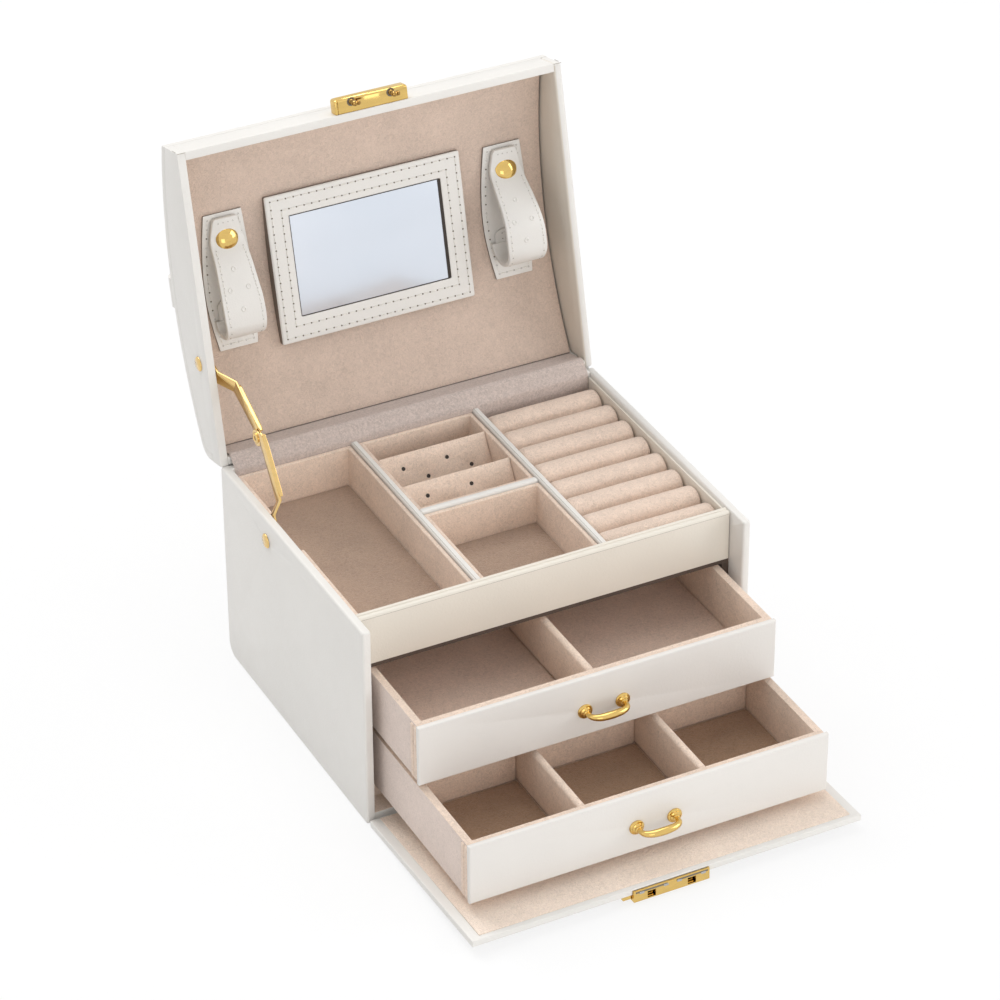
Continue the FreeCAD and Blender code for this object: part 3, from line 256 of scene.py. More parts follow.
def silvered_glass(name):
    """Silvered mirror glass under its thin protective film, which dulls and evens it; its pale
    bluish colour, half matt, is a painted reflection.

    The film lies a little looser here and there, in patches of about 11 mm."""
    finish, tree, surface, where = started(name)
    tone = add(tree, "TexNoise", {"Vector": where, "Scale": per(83.3)})
    film = add(tree, "TexNoise", {"Vector": where, "Scale": per(11.1), "Detail": 3})
    add(tree, surface, {
        "Base Color": add(tree, "ValToRGB", {"Fac": tone, "stops": [
            (0.3, linear("#D8E0EB")), (0.7, linear("#E1E6EF"))]}),
        "Roughness": add(tree, "MapRange", {**NOISE_SPAN, "Value": film,
                                            "To Min": 0.16, "To Max": 0.20}),
        "Metallic": 0.55})
    return finish


def fibrous(name, colour, grain, detail, dark, edge, depth, relief, roughness):
    """A matt fibrous surface, whose fibres part in grains of that many millimetres.

    It is darker between the fibres, a painted shade, over a ramp edge either side of the
    middle."""
    finish, tree, surface, where = started(name)
    fibres = add(tree, "TexNoise", {"Vector": where, "Scale": per(grain), "Detail": detail})
    add(tree, surface, {
        "Base Color": add(tree, "ValToRGB", {"Fac": fibres, "stops": [
            (0.5 - edge, linear(colour, dark)), (0.5 + edge, linear(colour))]}),
        "Normal": add(tree, "Bump", {"Height": fibres, "Distance": depth,
                                     "Strength": relief}),
        "Roughness": roughness, "IOR": PLASTIC_IOR})
    return finish


def cut_board(name, colour):
    """Grey board, knife cut: matt and rough. Its 0.5 mm fibres are drawn at 2 mm to show."""
    return fibrous(name, colour, 2, 4, 0.9, 0.2, 0.0002, 0.3, 0.8)


def twisted_thread(name, colour):
    """Polyester thread, twisted: its ply of 0.4 mm catches the light in short dashes.

    In a needle hole, where thread goes down through the cloth, it is given a darker colour:
    painted shade."""
    return fibrous(name, colour, 0.385, 2, 0.82, 0.15, 0.0001, 0.5, 0.75)


PU_WHITE = leatherette("white_embossed_leatherette", "#E7E4DF")
PU_FRONT = leatherette("drawer_front_leatherette", "#E3DFDA", 0.36, 0.4)
# A warmer copy of the white leatherette: painted warm shade, where light thrown back off the
# velvet falls.
PU_WARM_SHADE = leatherette("leatherette_painted_warm_shade", "#E7E0D4")
PU_STRAP = leatherette("strap_leatherette", "#E5E2DD", 0.36, 0.35)
# Darker leatherette on creases and folds: painted shade.
CREASE_SHADE = leatherette("leatherette_painted_crease_shade", "#AAA499", 0.6)
VELVET = velvet("brushed_velvet", "#ECD6C4")
VELVET_SIDE = velvet("drawer_side_velvet", "#E3D2C8", 0.6, 0.35, 0.09)
VELVET_ROLL = velvet("ring_roll_velvet", "#E8D2C1", 0.8, 0.5)
# The tray floor's and the lower drawer's velvets are darker copies, painted shade; the upper
# drawer's is a lighter copy, painted light.
VELVET_PAINTED_TRAY_SHADE = velvet("velvet_painted_tray_floor_shade", "#B59D8B")
VELVET_PAINTED_UPPER_LIGHT = velvet("upper_drawer_velvet", "#E2CABA")
VELVET_PAINTED_LOWER_SHADE = velvet("lower_drawer_velvet", "#B5977E")
LINING = velvet("lid_lining_suede", "#D5C0B1", 0.8, 0.25, 0.12)
# A lighter copy of the lid's suede, on the flap and on the boards below it: painted light.
LINING_PAINTED_FLAP_LIGHT = velvet("suede_painted_flap_light", "#FAE8D8", 1.0, 0.25, 0.11)
SATIN = woven_satin("woven_hinge_satin", "#CBBCB4")
# Dark velvet in the drawer bay, between the drawers and on the tray floor's front face: painted
# shade.
DARK_PAINTED_SHADE = velvet("drawer_bay_flock", "#594D45", 0.4, 0.1)
GOLD = plated("polished_gold_plate", "#E2BF73", 0.10)
PALE_GOLD = plated("polished_pale_gold_plate", "#E7C584", 0.09)
# Darker gold on the hasp's pins: a painted dark reflection.
GOLD_PAINTED_DARK_REFLECTION = plated("gold_plate_painted_dark_reflection", "#AA864B", 0.12)
STEEL = plated("zinc_plated_steel", "#BCBCBC", 0.3)
# The mirror's pale bluish colour, half matt: a painted reflection.
MIRROR_PAINTED_REFLECTION = silvered_glass("filmed_mirror_painted_reflection")
THREAD = twisted_thread("twisted_polyester_thread", "#F1EDE6")
# Darker thread in needle holes, slot mouths, tucks and wells: painted shade.
HOLE_SHADE = twisted_thread("polyester_thread_painted_hole_shade", "#7C7365")
# The cut board's core, also drawn as thin lines of painted shadow below the lid's lining and
# beside the left panel.
CUT_EDGE_AND_SHADOW_LINE = cut_board("knife_cut_board_and_painted_shadow", "#7C7169")
# Near black board in gaps and holes: painted shadow.
GAP_SHADOW = cut_board("board_painted_in_shadow", "#3C3530")


def finished(piece, finish):
    piece.data.materials.clear()
    piece.data.materials.append(finish)
    return piece


# Shaping.

def deselect():
    if bpy.context.mode != "OBJECT":
        bpy.ops.object.mode_set(mode="OBJECT")
    bpy.ops.object.select_all(action="DESELECT")


def take(piece):
    deselect()
    piece.select_set(True)
    bpy.context.view_layer.objects.active = piece
    return piece


def open_mesh(piece, action="SELECT"):
    """Opens a piece's mesh for shaping, with all of it selected, or none of it."""
    take(piece)
    bpy.ops.object.mode_set(mode="EDIT")
    bpy.ops.mesh.select_all(action=action)


def close_mesh():
    bpy.ops.object.mode_set(mode="OBJECT")


def choose(piece, parts, test):
    """Opens a mesh with just the "vertices" or "polygons" selected that pass the test."""
    open_mesh(piece, "DESELECT")
    close_mesh()
    for part in getattr(piece.data, parts):
        part.select = test(part)
    bpy.ops.object.mode_set(mode="EDIT")


def apply_all(piece):
    take(piece)
    for modifier in list(piece.modifiers):
        bpy.ops.object.modifier_apply(modifier=modifier.name)
    return piece


def settle(piece):
    """Place, turn and scale go into the mesh."""
    take(piece)
    bpy.ops.object.transform_apply(location=True, rotation=True, scale=True)
    return piece


def smoothed(piece, angle=35):
    take(piece)
    bpy.ops.object.shade_smooth_by_angle(angle=math.radians(angle))
    return piece


def rounded(piece, radius, segments, angle):
    """A bevel, not yet applied, on the edges sharper than the angle."""
    bevel = piece.modifiers.new("round", "BEVEL")
    bevel.width = radius * 0.001
    bevel.segments = segments
    bevel.limit_method = "ANGLE"
    bevel.angle_limit = math.radians(angle)


def soften(piece, radius, segments=3, angle=38):
    """Rounds the sharp edges, as cloth does when it is drawn over a board."""
    rounded(piece, radius, segments, angle)
    apply_all(piece)
    return smoothed(piece)


def mend_normals(piece):
    """Merges doubled points, and turns the faces outwards."""
    open_mesh(piece)
    bpy.ops.mesh.remove_doubles(threshold=0.000005)
    bpy.ops.mesh.normals_make_consistent(inside=False)
    close_mesh()
    return piece


def copied(source, name=None):
    """A copy with its own mesh, free of the source's notes and parent."""
    copy = source.copy()
    copy.data = source.data.copy()
    if name:
        copy.name = name
    for key in list(copy.keys()):
        del copy[key]
    bpy.context.scene.collection.objects.link(copy)
    copy.parent = None
    return copy


def joined(name, pieces):
    """One piece out of several; the first one's place is kept."""
    deselect()
    for piece in pieces:
        piece.select_set(True)
    bpy.context.view_layer.objects.active = pieces[0]
    bpy.ops.object.join()
    whole = bpy.context.object
    whole.name = name
    return whole


def repeated(name, model, seats):
    """One modelled piece copied to every seat, each copy with its own mesh, and joined."""
    copies = []
    for where in seats:
        copy = copied(model)
        copy.matrix_world = where
        copies.append(copy)
    whole = settle(joined(name, copies))
    bpy.data.objects.remove(model)
    return whole


def fitted(piece, body, node=None):
    """Says the body a piece rides on, and the node it stands for."""
    if node:
        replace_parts(piece, node)
    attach(piece, body)
    return piece


def wrapped(node, finish, radius, name=None):
    """A board of the frame, covered: its edges get the soft radius of a drawn-over skin."""
    source = frame["nodes"][node]
    body = source["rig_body"]
    piece = copied(source, name or node + "_cover")
    open_mesh(piece)
    bpy.ops.mesh.remove_doubles(threshold=0.00001)
    bpy.ops.mesh.dissolve_limited(angle_limit=math.radians(1.5))
    close_mesh()
    bpy.ops.mesh.customdata_custom_splitnormals_clear()
    soften(piece, radius)
    return fitted(finished(piece, finish), body, node)


# Bars, soft strips and turned metal.

def bar(size, radius=None, segments=2, at=(0, 0, 0)):
    """A straight bar, its edges rounded where a radius is given."""
    deselect()
    bpy.ops.mesh.primitive_cube_add(size=1, location=mm(*at), scale=mm(*size))
    piece = settle(bpy.context.object)
    return soften(piece, radius, segments) if radius else piece


def single_point(name, point):
    """A mesh of one selected vertex, ready to be drawn out."""
    deselect()
    bpy.ops.mesh.primitive_plane_add(size=0.001, location=point)
    piece = bpy.context.object
    piece.name = name
    bpy.ops.object.mode_set(mode="EDIT")
    bpy.ops.mesh.select_mode(type="VERT")
    bpy.ops.mesh.select_all(action="SELECT")
    bpy.ops.mesh.merge(type="CENTER")
    return piece


STEPS = 4


def through(points, steps=STEPS):
    """A smooth line through the points, with that many steps from each to the next."""
    line = []
    for k in range(len(points) - 1):
        before = points[max(k - 1, 0)]
        a, b = points[k], points[k + 1]
        after = points[min(k + 2, len(points) - 1)]
        for s in range(steps):
            t = s / steps
            line.append(0.5 * (2 * a + (b - before) * t
                               + (2 * before - 5 * a + 4 * b - after) * t * t
                               + (3 * a - before - 3 * b + after) * t ** 3))
    return line + [points[-1]]


def strip_along(name, line, halves, across, thickness, edge=0.3):
    """A flat strip: its end edge is drawn out from point to point, and resized."""
    piece = single_point(name, line[0] - across * halves[0])
    width = across * halves[0] * 2
    bpy.ops.mesh.extrude_vertices_move(TRANSFORM_OT_translate={"value": width})
    bpy.ops.mesh.select_all(action="SELECT")
    bpy.ops.mesh.select_mode(type="EDGE")
    for k in range(1, len(line)):
        move = line[k] - line[k - 1]
        bpy.ops.mesh.extrude_edges_move(TRANSFORM_OT_translate={"value": move})
        ratio = halves[k] / halves[k - 1]
        bpy.ops.transform.resize(value=(ratio, ratio, ratio), center_override=line[k])
    bpy.ops.mesh.select_all(action="SELECT")
    close_mesh()
    settle(piece)
    solid = piece.modifiers.new("thickness", "SOLIDIFY")
    solid.thickness = thickness * 0.001
    solid.offset = 0
    solid.use_even_offset = True
    apply_all(piece)
    mend_normals(piece)
    return soften(piece, edge, 3, 50)


def strip_across(name, stops, half, thickness, edge):
    """A strip as wide as the box, through stops (Y, Z)."""
    line = through([mm(0, y, z) for y, z in stops])
    return strip_along(name, line, [half * 0.001] * len(line), ACROSS, thickness, edge)


def seat(point, normal, along=ACROSS):
    """A place on a surface: local X along the seam, local Z off the surface."""
    normal = normal.normalized()
    along = (along - normal * along.dot(normal)).normalized()
    side = normal.cross(along)
    turn = Matrix((along, side, normal)).transposed().to_4x4()
    return Matrix.Translation(point) @ turn


def turned(name, profile, steps=40, where=None):
    """Spun metal: profile is (radius, height), about the seat's own Z."""
    piece = single_point(name, (0, 0, 0))
    bpy.ops.transform.translate(value=mm(profile[0][0], 0, profile[0][1]))
    for (r0, h0), (r1, h1) in zip(profile, profile[1:]):
        move = mm(r1 - r0, 0, h1 - h0)
        bpy.ops.mesh.extrude_vertices_move(TRANSFORM_OT_translate={"value": move})
    bpy.ops.mesh.select_all(action="SELECT")
    bpy.ops.mesh.spin(steps=steps, angle=2 * math.pi, center=(0, 0, 0), axis=(0, 0, 1))
    close_mesh()
    mend_normals(piece)
    if where is not None:
        piece.matrix_world = where @ piece.matrix_world
    settle(piece)
    return smoothed(piece, 32)


# Seams.

STITCH_HALF_WIDTH = 0.25
STITCH_RISE = 0.32
STITCH_SHARE = 0.68
# Two holes further apart than this many pitches have no stitch between them.
LONGEST_STITCH = 1.5


def stitch_model(length):
    """One stitch of thread, half sunk."""
    deselect()
    bpy.ops.mesh.primitive_uv_sphere_add(segments=8, ring_count=6, radius=1)
    stitch = bpy.context.object
    stitch.scale = mm(length / 2, STITCH_HALF_WIDTH, STITCH_RISE)
    settle(stitch)
    bpy.ops.object.shade_smooth()
    return finished(stitch, THREAD)


def hole_model(radius):
    """A needle hole: a cup with a drawn-in rim, dark with painted shade."""
    deselect()
    bpy.ops.mesh.primitive_cylinder_add(vertices=10, radius=radius * 0.001, depth=0.00016)
    hole = bpy.context.object
    choose(hole, "polygons", lambda face: face.normal.z > 0.9)
    bpy.ops.mesh.inset(thickness=radius * 0.0003)
    bpy.ops.transform.translate(value=(0, 0, -0.0001))
    close_mesh()
    return finished(hole, HOLE_SHADE)


def sew(name, body, seats, pitch, thread=True, hole=0.36):
    """A seam: thread between needle holes, one hole at each seat."""
    if thread:
        middles = []
        for a, b in zip(seats, seats[1:]):
            gap = b.translation - a.translation
            if gap.length < pitch * LONGEST_STITCH * 0.001:
                middle = (a.translation + b.translation) / 2
                middles.append(seat(middle, a.to_3x3() @ UP, gap))
        stitches = repeated(name + "_thread", stitch_model(pitch * STITCH_SHARE), middles)
    holes = repeated(name + "_holes", hole_model(hole), seats)
    if thread:
        fitted(stitches, body)
    fitted(holes, body)


def run(points, pitch):
    """Points at an even pitch along a broken line, and their directions."""
    found = []
    for a, b in zip(points, points[1:]):
        a, b = Vector(a), Vector(b)
        count = max(1, round((b - a).length / pitch))
        for k in range(count):
            found.append((a.lerp(b, k / count), (b - a).normalized()))
    found.append((b, (b - a).normalized()))
    return found


# The lid's inner face: a shallow arch about a line far below.

DOME_Z = -78.2357
LINING_R = 194.4557
FRAME_SEAM_Z = 110.36
FRAME_PITCH = 3.5
MIRROR_LEFT = -1.1


def lining_at(x, y0, depth):
    """A place depth below the lid's lining, y0 along it, with its normal."""
    a = math.asin(y0 / LINING_R)
    radius = LINING_R - depth
    point = mm(x, radius * math.sin(a), DOME_Z + radius * math.cos(a))
    return point, Vector((0, -math.sin(a), -math.cos(a)))


def lid_seat(x, y0, depth, along):
    point, normal = lining_at(x, y0, depth)
    return LID_TURN @ seat(point, normal, Vector(along))


def sew_mirror_frame():
    """The mirror sits a hair left of the middle; two seams run round its frame."""
    shift = mm(MIRROR_LEFT, 0, 0)
    for name in ("mirror_frame_cover", "mirror_glass_pane"):
        take(bpy.data.objects[name])
        bpy.ops.transform.translate(value=shift)
        settle(bpy.context.object)
    for label, inset in (("outer", 2.3), ("inner", 6.9)):
        x, y0, y1 = 45 - inset, -35.5 + inset, 29.5 - inset
        seats = []
        for point, along in run([(-x, y0), (x, y0), (x, y1), (-x, y1), (-x, y0)],
                                FRAME_PITCH):
            place = mm(point.x, point.y, FRAME_SEAM_Z) + shift
            seats.append(LID_TURN @ seat(place, DOWN, along.to_3d()))
        sew("frame_seam_" + label, "lid", seats, FRAME_PITCH)


# Snap straps. A row is (distance along the lid, half width).

STRAP_X = 64.6
PATCH_ROWS = [(-33.5, 8.6), (-22, 9.9), (-10, 10.9), (-2, 11.2), (8, 10.9), (17, 9.9),
              (26, 8.6)]
PATCH_PITCH = 3.4


def half_width(rows, y):
    for (y0, w0), (y1, w1) in zip(rows, rows[1:]):
        if y <= y1:
            return w0 + (w1 - w0) * max(0.0, (y - y0) / (y1 - y0))
    return rows[-1][1]


def sew_patch(side, centre):
    ys = [-31.4 + 3.95 * k for k in range(15)]
    right = [(centre + half_width(PATCH_ROWS, y) - 1.9, y) for y in ys]
    left = [(centre - half_width(PATCH_ROWS, y) + 1.9, y) for y in reversed(ys)]
    seats = [lid_seat(point.x, point.y, 1.24, (along.x, along.y, 0))
             for point, along in run(right + left + [right[0]], PATCH_PITCH)]
    sew(side + "_patch_seam", "lid", seats, PATCH_PITCH)


STRAP_ROWS = [(-32.4, 5.6), (-29, 6.2), (-26, 6.8), (-22, 7.5), (-14, 8.1), (-6, 8.6),
              (2, 9.1), (10, 9.2), (24, 8.4)]
# Each strap: its middle, its leg as (distance along the lid, depth below the lining), and the
# fold's distance, depth and radius.
STRAPS = {
    "left": (-STRAP_X,
             [(-32.4, 3.2), (-28, 3.3), (-25.4, 3.3), (-22.8, 3.5), (-19.5, 5.0), (-16, 7.4),
              (-12, 9.5), (-8, 10.9), (-4, 12.2), (0, 13.4), (4, 14.2), (8, 14.6)],
             13.0, 8.5, 6.1),
    "right": (STRAP_X,
              [(-32.4, 3.2), (-28, 3.3), (-25.4, 3.3), (-22.8, 3.6), (-19.5, 5.6), (-16, 8.6),
               (-12, 12.0), (-8, 15.0), (-4, 17.2), (0, 18.6), (4, 19.0), (8, 18.9)],
              9.9, 10.7, 8.2),
}
# A strap's outer face, off its middle line.
STRAP_FACE = 0.88
RING_MARK = [(0, 0.02), (0.45, 0.02), (0.6, 0.25), (0.85, 0.34), (1.1, 0.25), (1.2, -0.05)]
SNAP_CAP = [(0, 2.95), (0.9, 2.92), (1.8, 2.82), (2.7, 2.6), (3.5, 2.28), (4.2, 1.85),
            (4.7, 1.45), (4.95, 1.1), (4.9, 0.93), (4.4, 0.93), (0.9, 0.93), (0.9, -1.2),
            (3.0, -1.2), (3.0, -1.6), (1.9, -1.6), (1.9, -1.3), (0, -1.3)]


def lid_strap(side):
    """A snap strap: rises off its patch, folds back on itself, stitched along both edges."""
    centre, leg, fold_y, fold_depth, fold_r = STRAPS[side]
    body = side + "_strap"
    stops = list(leg)
    for k in range(10):
        a = math.radians(90 - 20 * k)
        stops.append((fold_y + fold_r * math.cos(a), fold_depth + fold_r * math.sin(a)))
    line = through([LID_TURN @ lining_at(centre, y, depth)[0] for y, depth in stops])
    ys = [point.x for point in through([Vector((y, depth, 0)) for y, depth in stops])]
    halves = [half_width(STRAP_ROWS, y) * 0.001 for y in ys]
    halves[0] *= 0.86
    halves[1] *= 0.95
    strap = strip_along(side + "_snap_strap", line, halves, ACROSS, 1.75, 0.45)
    fitted(finished(strap, PU_STRAP), body, side + "_strap")

    leg_end = len(leg) * STEPS
    middle = LID_TURN @ lining_at(centre, fold_y - 4, fold_depth)[0]

    def on_strap(x, y):
        """A seat on the strap's outer face, at a distance y along the lid."""
        best = min(range(1, len(line) - 1),
                   key=lambda k: abs(ys[k] - y) + (0 if k < leg_end else 9))
        tangent = (line[best + 1] - line[best - 1]).normalized()
        normal = ACROSS.cross(tangent)
        if normal.dot(LID_TURN.to_3x3() @ DOWN) < 0:
            normal = -normal
        point = (line[best] + tangent * ((y - ys[best]) * 0.001)
                 + normal * (STRAP_FACE * 0.001))
        return seat(Vector((x * 0.001, point.y, point.z)), normal, tangent)

    first = min(range(len(line)), key=lambda k: abs(ys[k] + 19.0))
    for label, sign in (("inner", 1), ("outer", -1)):
        seats, walked = [], 9.0
        for k in range(first, leg_end + 18):
            walked += (line[k + 1] - line[k]).length * 1000
            if walked < 2.8:
                continue
            walked = 0.0
            tangent = (line[k + 1] - line[k - 1]).normalized()
            normal = ACROSS.cross(tangent)
            if normal.dot(line[k] - middle) < 0:
                normal = -normal
            off = mm(sign * (half_width(STRAP_ROWS, ys[k]) - 1.7), 0, 0)
            seats.append(seat(line[k] + off + normal * (STRAP_FACE * 0.001), normal,
                              tangent))
        sew("%s_strap_seam_%s" % (side, label), body, seats, 2.9, True, 0.26)
    seats = [on_strap(centre + x, -30.4) for x in (-3.3, -1.1, 1.1, 3.3)]
    sew(side + "_strap_top_seam", body, seats, 2.2, False, 0.26)
    marks = [on_strap(centre + x, y)
             for x, y in ((-0.8, -11.0), (-4.4, -2.6), (3.8, -2.6), (-0.4, 6.4))]
    ring = finished(turned("ring_mark", RING_MARK, 16), PU_STRAP)
    fitted(repeated(side + "_strap_rings", ring, marks), body)
    snap = on_strap(centre, -22.8) @ Matrix.Translation(mm(0, 0, -0.9))
    cap = finished(turned(side + "_snap", SNAP_CAP, 48, snap), GOLD)
    fitted(cap, body, side + "_snap_cap")


def sewn_ends():
    """The ends of the straps that are sewn to the patches, seen inside the folds."""
    for side, centre, reach in (("left", -STRAP_X, 14.5), ("right", STRAP_X, 12.6)):
        stops = [(4.4, 1.9), (7.0, 1.9), (10.0, 1.95), (reach, 2.15)]
        line = through([LID_TURN @ lining_at(centre, y, depth)[0] for y, depth in stops])
        halves = [0.0032, 0.0051, 0.0061, 0.0066] + [0.0069] * (len(line) - 4)
        end = strip_along(side + "_sewn_end", line, halves, ACROSS, 1.2, 0.3)
        node = "sewn_strap_ends" if side == "left" else None
        fitted(finished(end, PU_STRAP), "lid", node)
        xs = (-3.6, -1.2, 1.2, 3.6)
        spots = [(x, 6.2) for x in xs] + [(x, 8.6) for x in reversed(xs)]
        seats = [lid_seat(centre + x, y, 2.54, ACROSS) for x, y in spots]
        sew(side + "_sewn_end_seam", "lid", seats, 2.4, True, 0.22)


# The fabric over the hinge.

def hinge_strip():
    """Lining fabric from the lid's lining down to the tray, with a soft ridge over the
    lid's edge."""
    strip = strip_across("hinge_fabric", [
        (82.9, 95.9), (81.75, 94.2), (80.6, 93.95), (78.6, 94.5), (76.4, 95.05),
        (73.6, 95.75), (71.2, 96.9), (69.4, 97.2), (67.6, 96.0), (66.4, 94.6), (65.4, 93.7),
        (64.7, 92.9), (64.2, 92.0), (64.0, 90.6), (64.12, 86.0), (64.12, 80.0)],
        82.9, 0.4, 0.12)
    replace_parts(finished(strip, SATIN), "hinge_lining")
    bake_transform(strip)


def spine_cover():
    """The outer cover's folded spine, from the case's back to the lid's back."""
    strip = strip_across("spine_cover", [
        (68.35, 80.0), (68.35, 85.0), (68.35, 89.0), (68.75, 91.0), (70.2, 91.9),
        (72.6, 91.55), (75.2, 90.9)], 86.2, 0.6, 0.2)
    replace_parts(finished(strip, PU_WHITE), "lid_hinge_cover")
    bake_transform(strip)


# Padding.

ROLL_X = 56.6
ROLL_Y = -45.35
ROLL_PITCH = 14.3
ROLL_FLOOR = 69.55
FILL_MOST = 0.9
SETTLE_FRAMES = 20


def ring_roll_model():
    """A stuffed roll: domed on top, its sides drawn in to the floor, its ends rounded."""
    deselect()
    bpy.ops.mesh.primitive_cylinder_add(vertices=28, radius=0.0066, depth=0.0518,
                                        location=mm(ROLL_X, ROLL_Y, 83.2),
                                        rotation=(0, math.pi / 2, 0))
    roll = settle(bpy.context.object)
    roll.name = "ring_roll"
    open_mesh(roll)
    bpy.ops.mesh.bisect(plane_co=mm(0, 0, 83.0), plane_no=UP, clear_inner=True)
    bpy.ops.mesh.select_all(action="DESELECT")
    bpy.ops.mesh.select_mode(type="EDGE")
    bpy.ops.mesh.select_non_manifold()
    middle = mm(ROLL_X, ROLL_Y, 83)
    for drop, ratio in ((5.0, 1.0), (4.6, 0.97), (3.6, 0.9)):
        bpy.ops.mesh.extrude_edges_move(TRANSFORM_OT_translate={"value": mm(0, 0, -drop)})
        bpy.ops.transform.resize(value=(1, ratio, 1), center_override=middle)
    bpy.ops.mesh.fill_holes(sides=0)
    close_mesh()
    mend_normals(roll)
    rounded(roll, 1.9, 3, 50)
    remesh = roll.modifiers.new("cloth grid", "REMESH")
    remesh.mode = "VOXEL"
    remesh.voxel_size = 0.0012
    apply_all(roll)
    fill_out(roll, FILL_MOST * 0.001)
    smooth = roll.modifiers.new("fine", "SUBSURF")
    smooth.levels = smooth.render_levels = 1
    apply_all(roll)
    bpy.ops.object.shade_smooth()
    return roll


def fill_out(piece, most):
    """Blows the cloth up a little from inside, as stuffing does, never further than most."""
    before = [vertex.co.copy() for vertex in piece.data.vertices]
    cloth = piece.modifiers.new("stuffing", "CLOTH")
    cloth.settings.use_pressure = True
    cloth.settings.uniform_pressure_force = 4
    cloth.settings.effector_weights.gravity = 0
    cloth.settings.quality = 4
    scene = bpy.context.scene
    for number in range(1, SETTLE_FRAMES + 1):
        scene.frame_set(number)
    take(piece)
    bpy.ops.object.modifier_apply(modifier=cloth.name)
    for vertex, start in zip(piece.data.vertices, before):
        move = vertex.co - start
        if move.length > most:
            vertex.co = start + move * (most / move.length)
        vertex.co.z = max(vertex.co.z, ROLL_FLOOR * 0.001)
    scene.frame_set(1)


def ring_rolls():
    """Eight rolls side by side, each a hair out of line with the next."""
    model = ring_roll_model()
    for k in range(8):
        roll = copied(model, "ring_roll_%d" % (k + 1))
        wobble = mm(math.sin(k * 2.3) * 0.12, ROLL_PITCH * k, 0.15 * math.sin(k * 1.7))
        roll.matrix_world = Matrix.Translation(wobble)
        settle(roll)
        finished(roll, VELVET_ROLL)
        fitted(roll, "case", None if k else "ring_rolls")
    bpy.data.objects.remove(model)


def floor_card(name, body, x, y, z, finish, shift=None):
    """A velvet card laid on the floor of a compartment, a hair short of its walls."""
    card = bar((x[1] - x[0] - 0.9, y[1] - y[0] - 0.9, 0.8), 0.35, 3,
               ((x[0] + x[1]) / 2, (y[0] + y[1]) / 2, z + 0.42))
    card.name = name
    if shift is not None:
        card.matrix_world = shift
        settle(card)
    fitted(finished(card, finish), body)


def floor_cards():
    # The tray's and the lower drawer's cards are darker with painted shade, the upper drawer's
    # lighter with painted light.
    floor_card("left_tray_card", "case", (-80.5, -32.1), (-50.9, 62.0), 70.9, VELVET_PAINTED_TRAY_SHADE)
    floor_card("small_tray_card", "case", (-24.9, 24.9), (-50.9, 0.4), 70.9, VELVET_PAINTED_TRAY_SHADE)
    for label, x in (("left", (-76.6, -2.8)), ("right", (0.6, 76.6))):
        floor_card("upper_card_" + label, "upper_drawer", x, (-52.3, 58.8), 43.4,
                   VELVET_PAINTED_UPPER_LIGHT, UPPER_OUT)
    for label, x in (("left", (-76.6, -29.8)), ("middle", (-26.4, 24.4)),
                     ("right", (27.8, 76.6))):
        for row, y in (("front", (-52.3, 0.8)), ("rear", (4.2, 58.8))):
            floor_card("lower_card_%s_%s" % (label, row), "lower_drawer", x, y, 14.7,
                       VELVET_PAINTED_LOWER_SHADE, LOWER_OUT)


# Metal.

PULL_X = 1.5
PULL_Y = -57.5
PULL_FOOT = [(0, 2.6), (1.0, 2.6), (1.5, 2.35), (1.6, 2.0), (1.35, 1.75), (1.9, 1.6),
             (2.35, 1.3), (2.4, 1.0), (3.0, 0.85), (3.25, 0.45), (3.2, 0.0), (0, 0)]
# Half of the bow, from its foot to its middle: (distance from the middle, out, radius).
PULL_BOW = [(8.5, 1.6, 1.0), (8.6, 3.4, 1.05), (7.9, 5.4, 1.25), (5.6, 6.75, 1.45),
            (2.8, 7.15, 1.62), (0, 7.25, 1.68)]


def drawer_pull(name, body, node, height, shift):
    """A bow pull: two collared feet and a bow that swells towards its middle."""
    seats = [shift @ seat(mm(PULL_X + x, PULL_Y, height), FORWARD) for x in (-8.5, 8.5)]
    feet = repeated(name, turned("foot", PULL_FOOT, 36), seats)
    stops = [(-x, out, radius) for x, out, radius in PULL_BOW] + PULL_BOW[-2::-1]
    data = bpy.data.curves.new("bow", "CURVE")
    data.dimensions = "3D"
    data.bevel_depth = 0.001
    data.bevel_resolution = 5
    data.use_fill_caps = True
    spline = data.splines.new("NURBS")
    spline.points.add(len(stops) - 1)
    for point, (x, out, radius) in zip(spline.points, stops):
        point.co = (*mm(PULL_X + x, PULL_Y - out, height), 1)
        point.radius = radius
    spline.order_u = 3
    spline.use_endpoint_u = True
    spline.resolution_u = 10
    bow = bpy.data.objects.new("bow", data)
    bpy.context.scene.collection.objects.link(bow)
    bow.matrix_world = shift
    take(bow)
    bpy.ops.object.convert(target="MESH")
    bow = mend_normals(settle(bpy.context.object))
    bpy.ops.object.shade_smooth()
    pull = joined(name, [feet, bow])
    fitted(finished(pull, GOLD), body, node)


CASE_RIVET = mm(0, 23.5, 82.8)
ELBOW = mm(0, 48.500, 116.112)
LID_RIVET = mm(0, 86.441, 133.294)
ARM_THICK = 0.9
# The stay's layers across the box: at its rivets, and at its elbow below and above.
NEAR, LOW, HIGH = -83.15, -79.05, -77.75
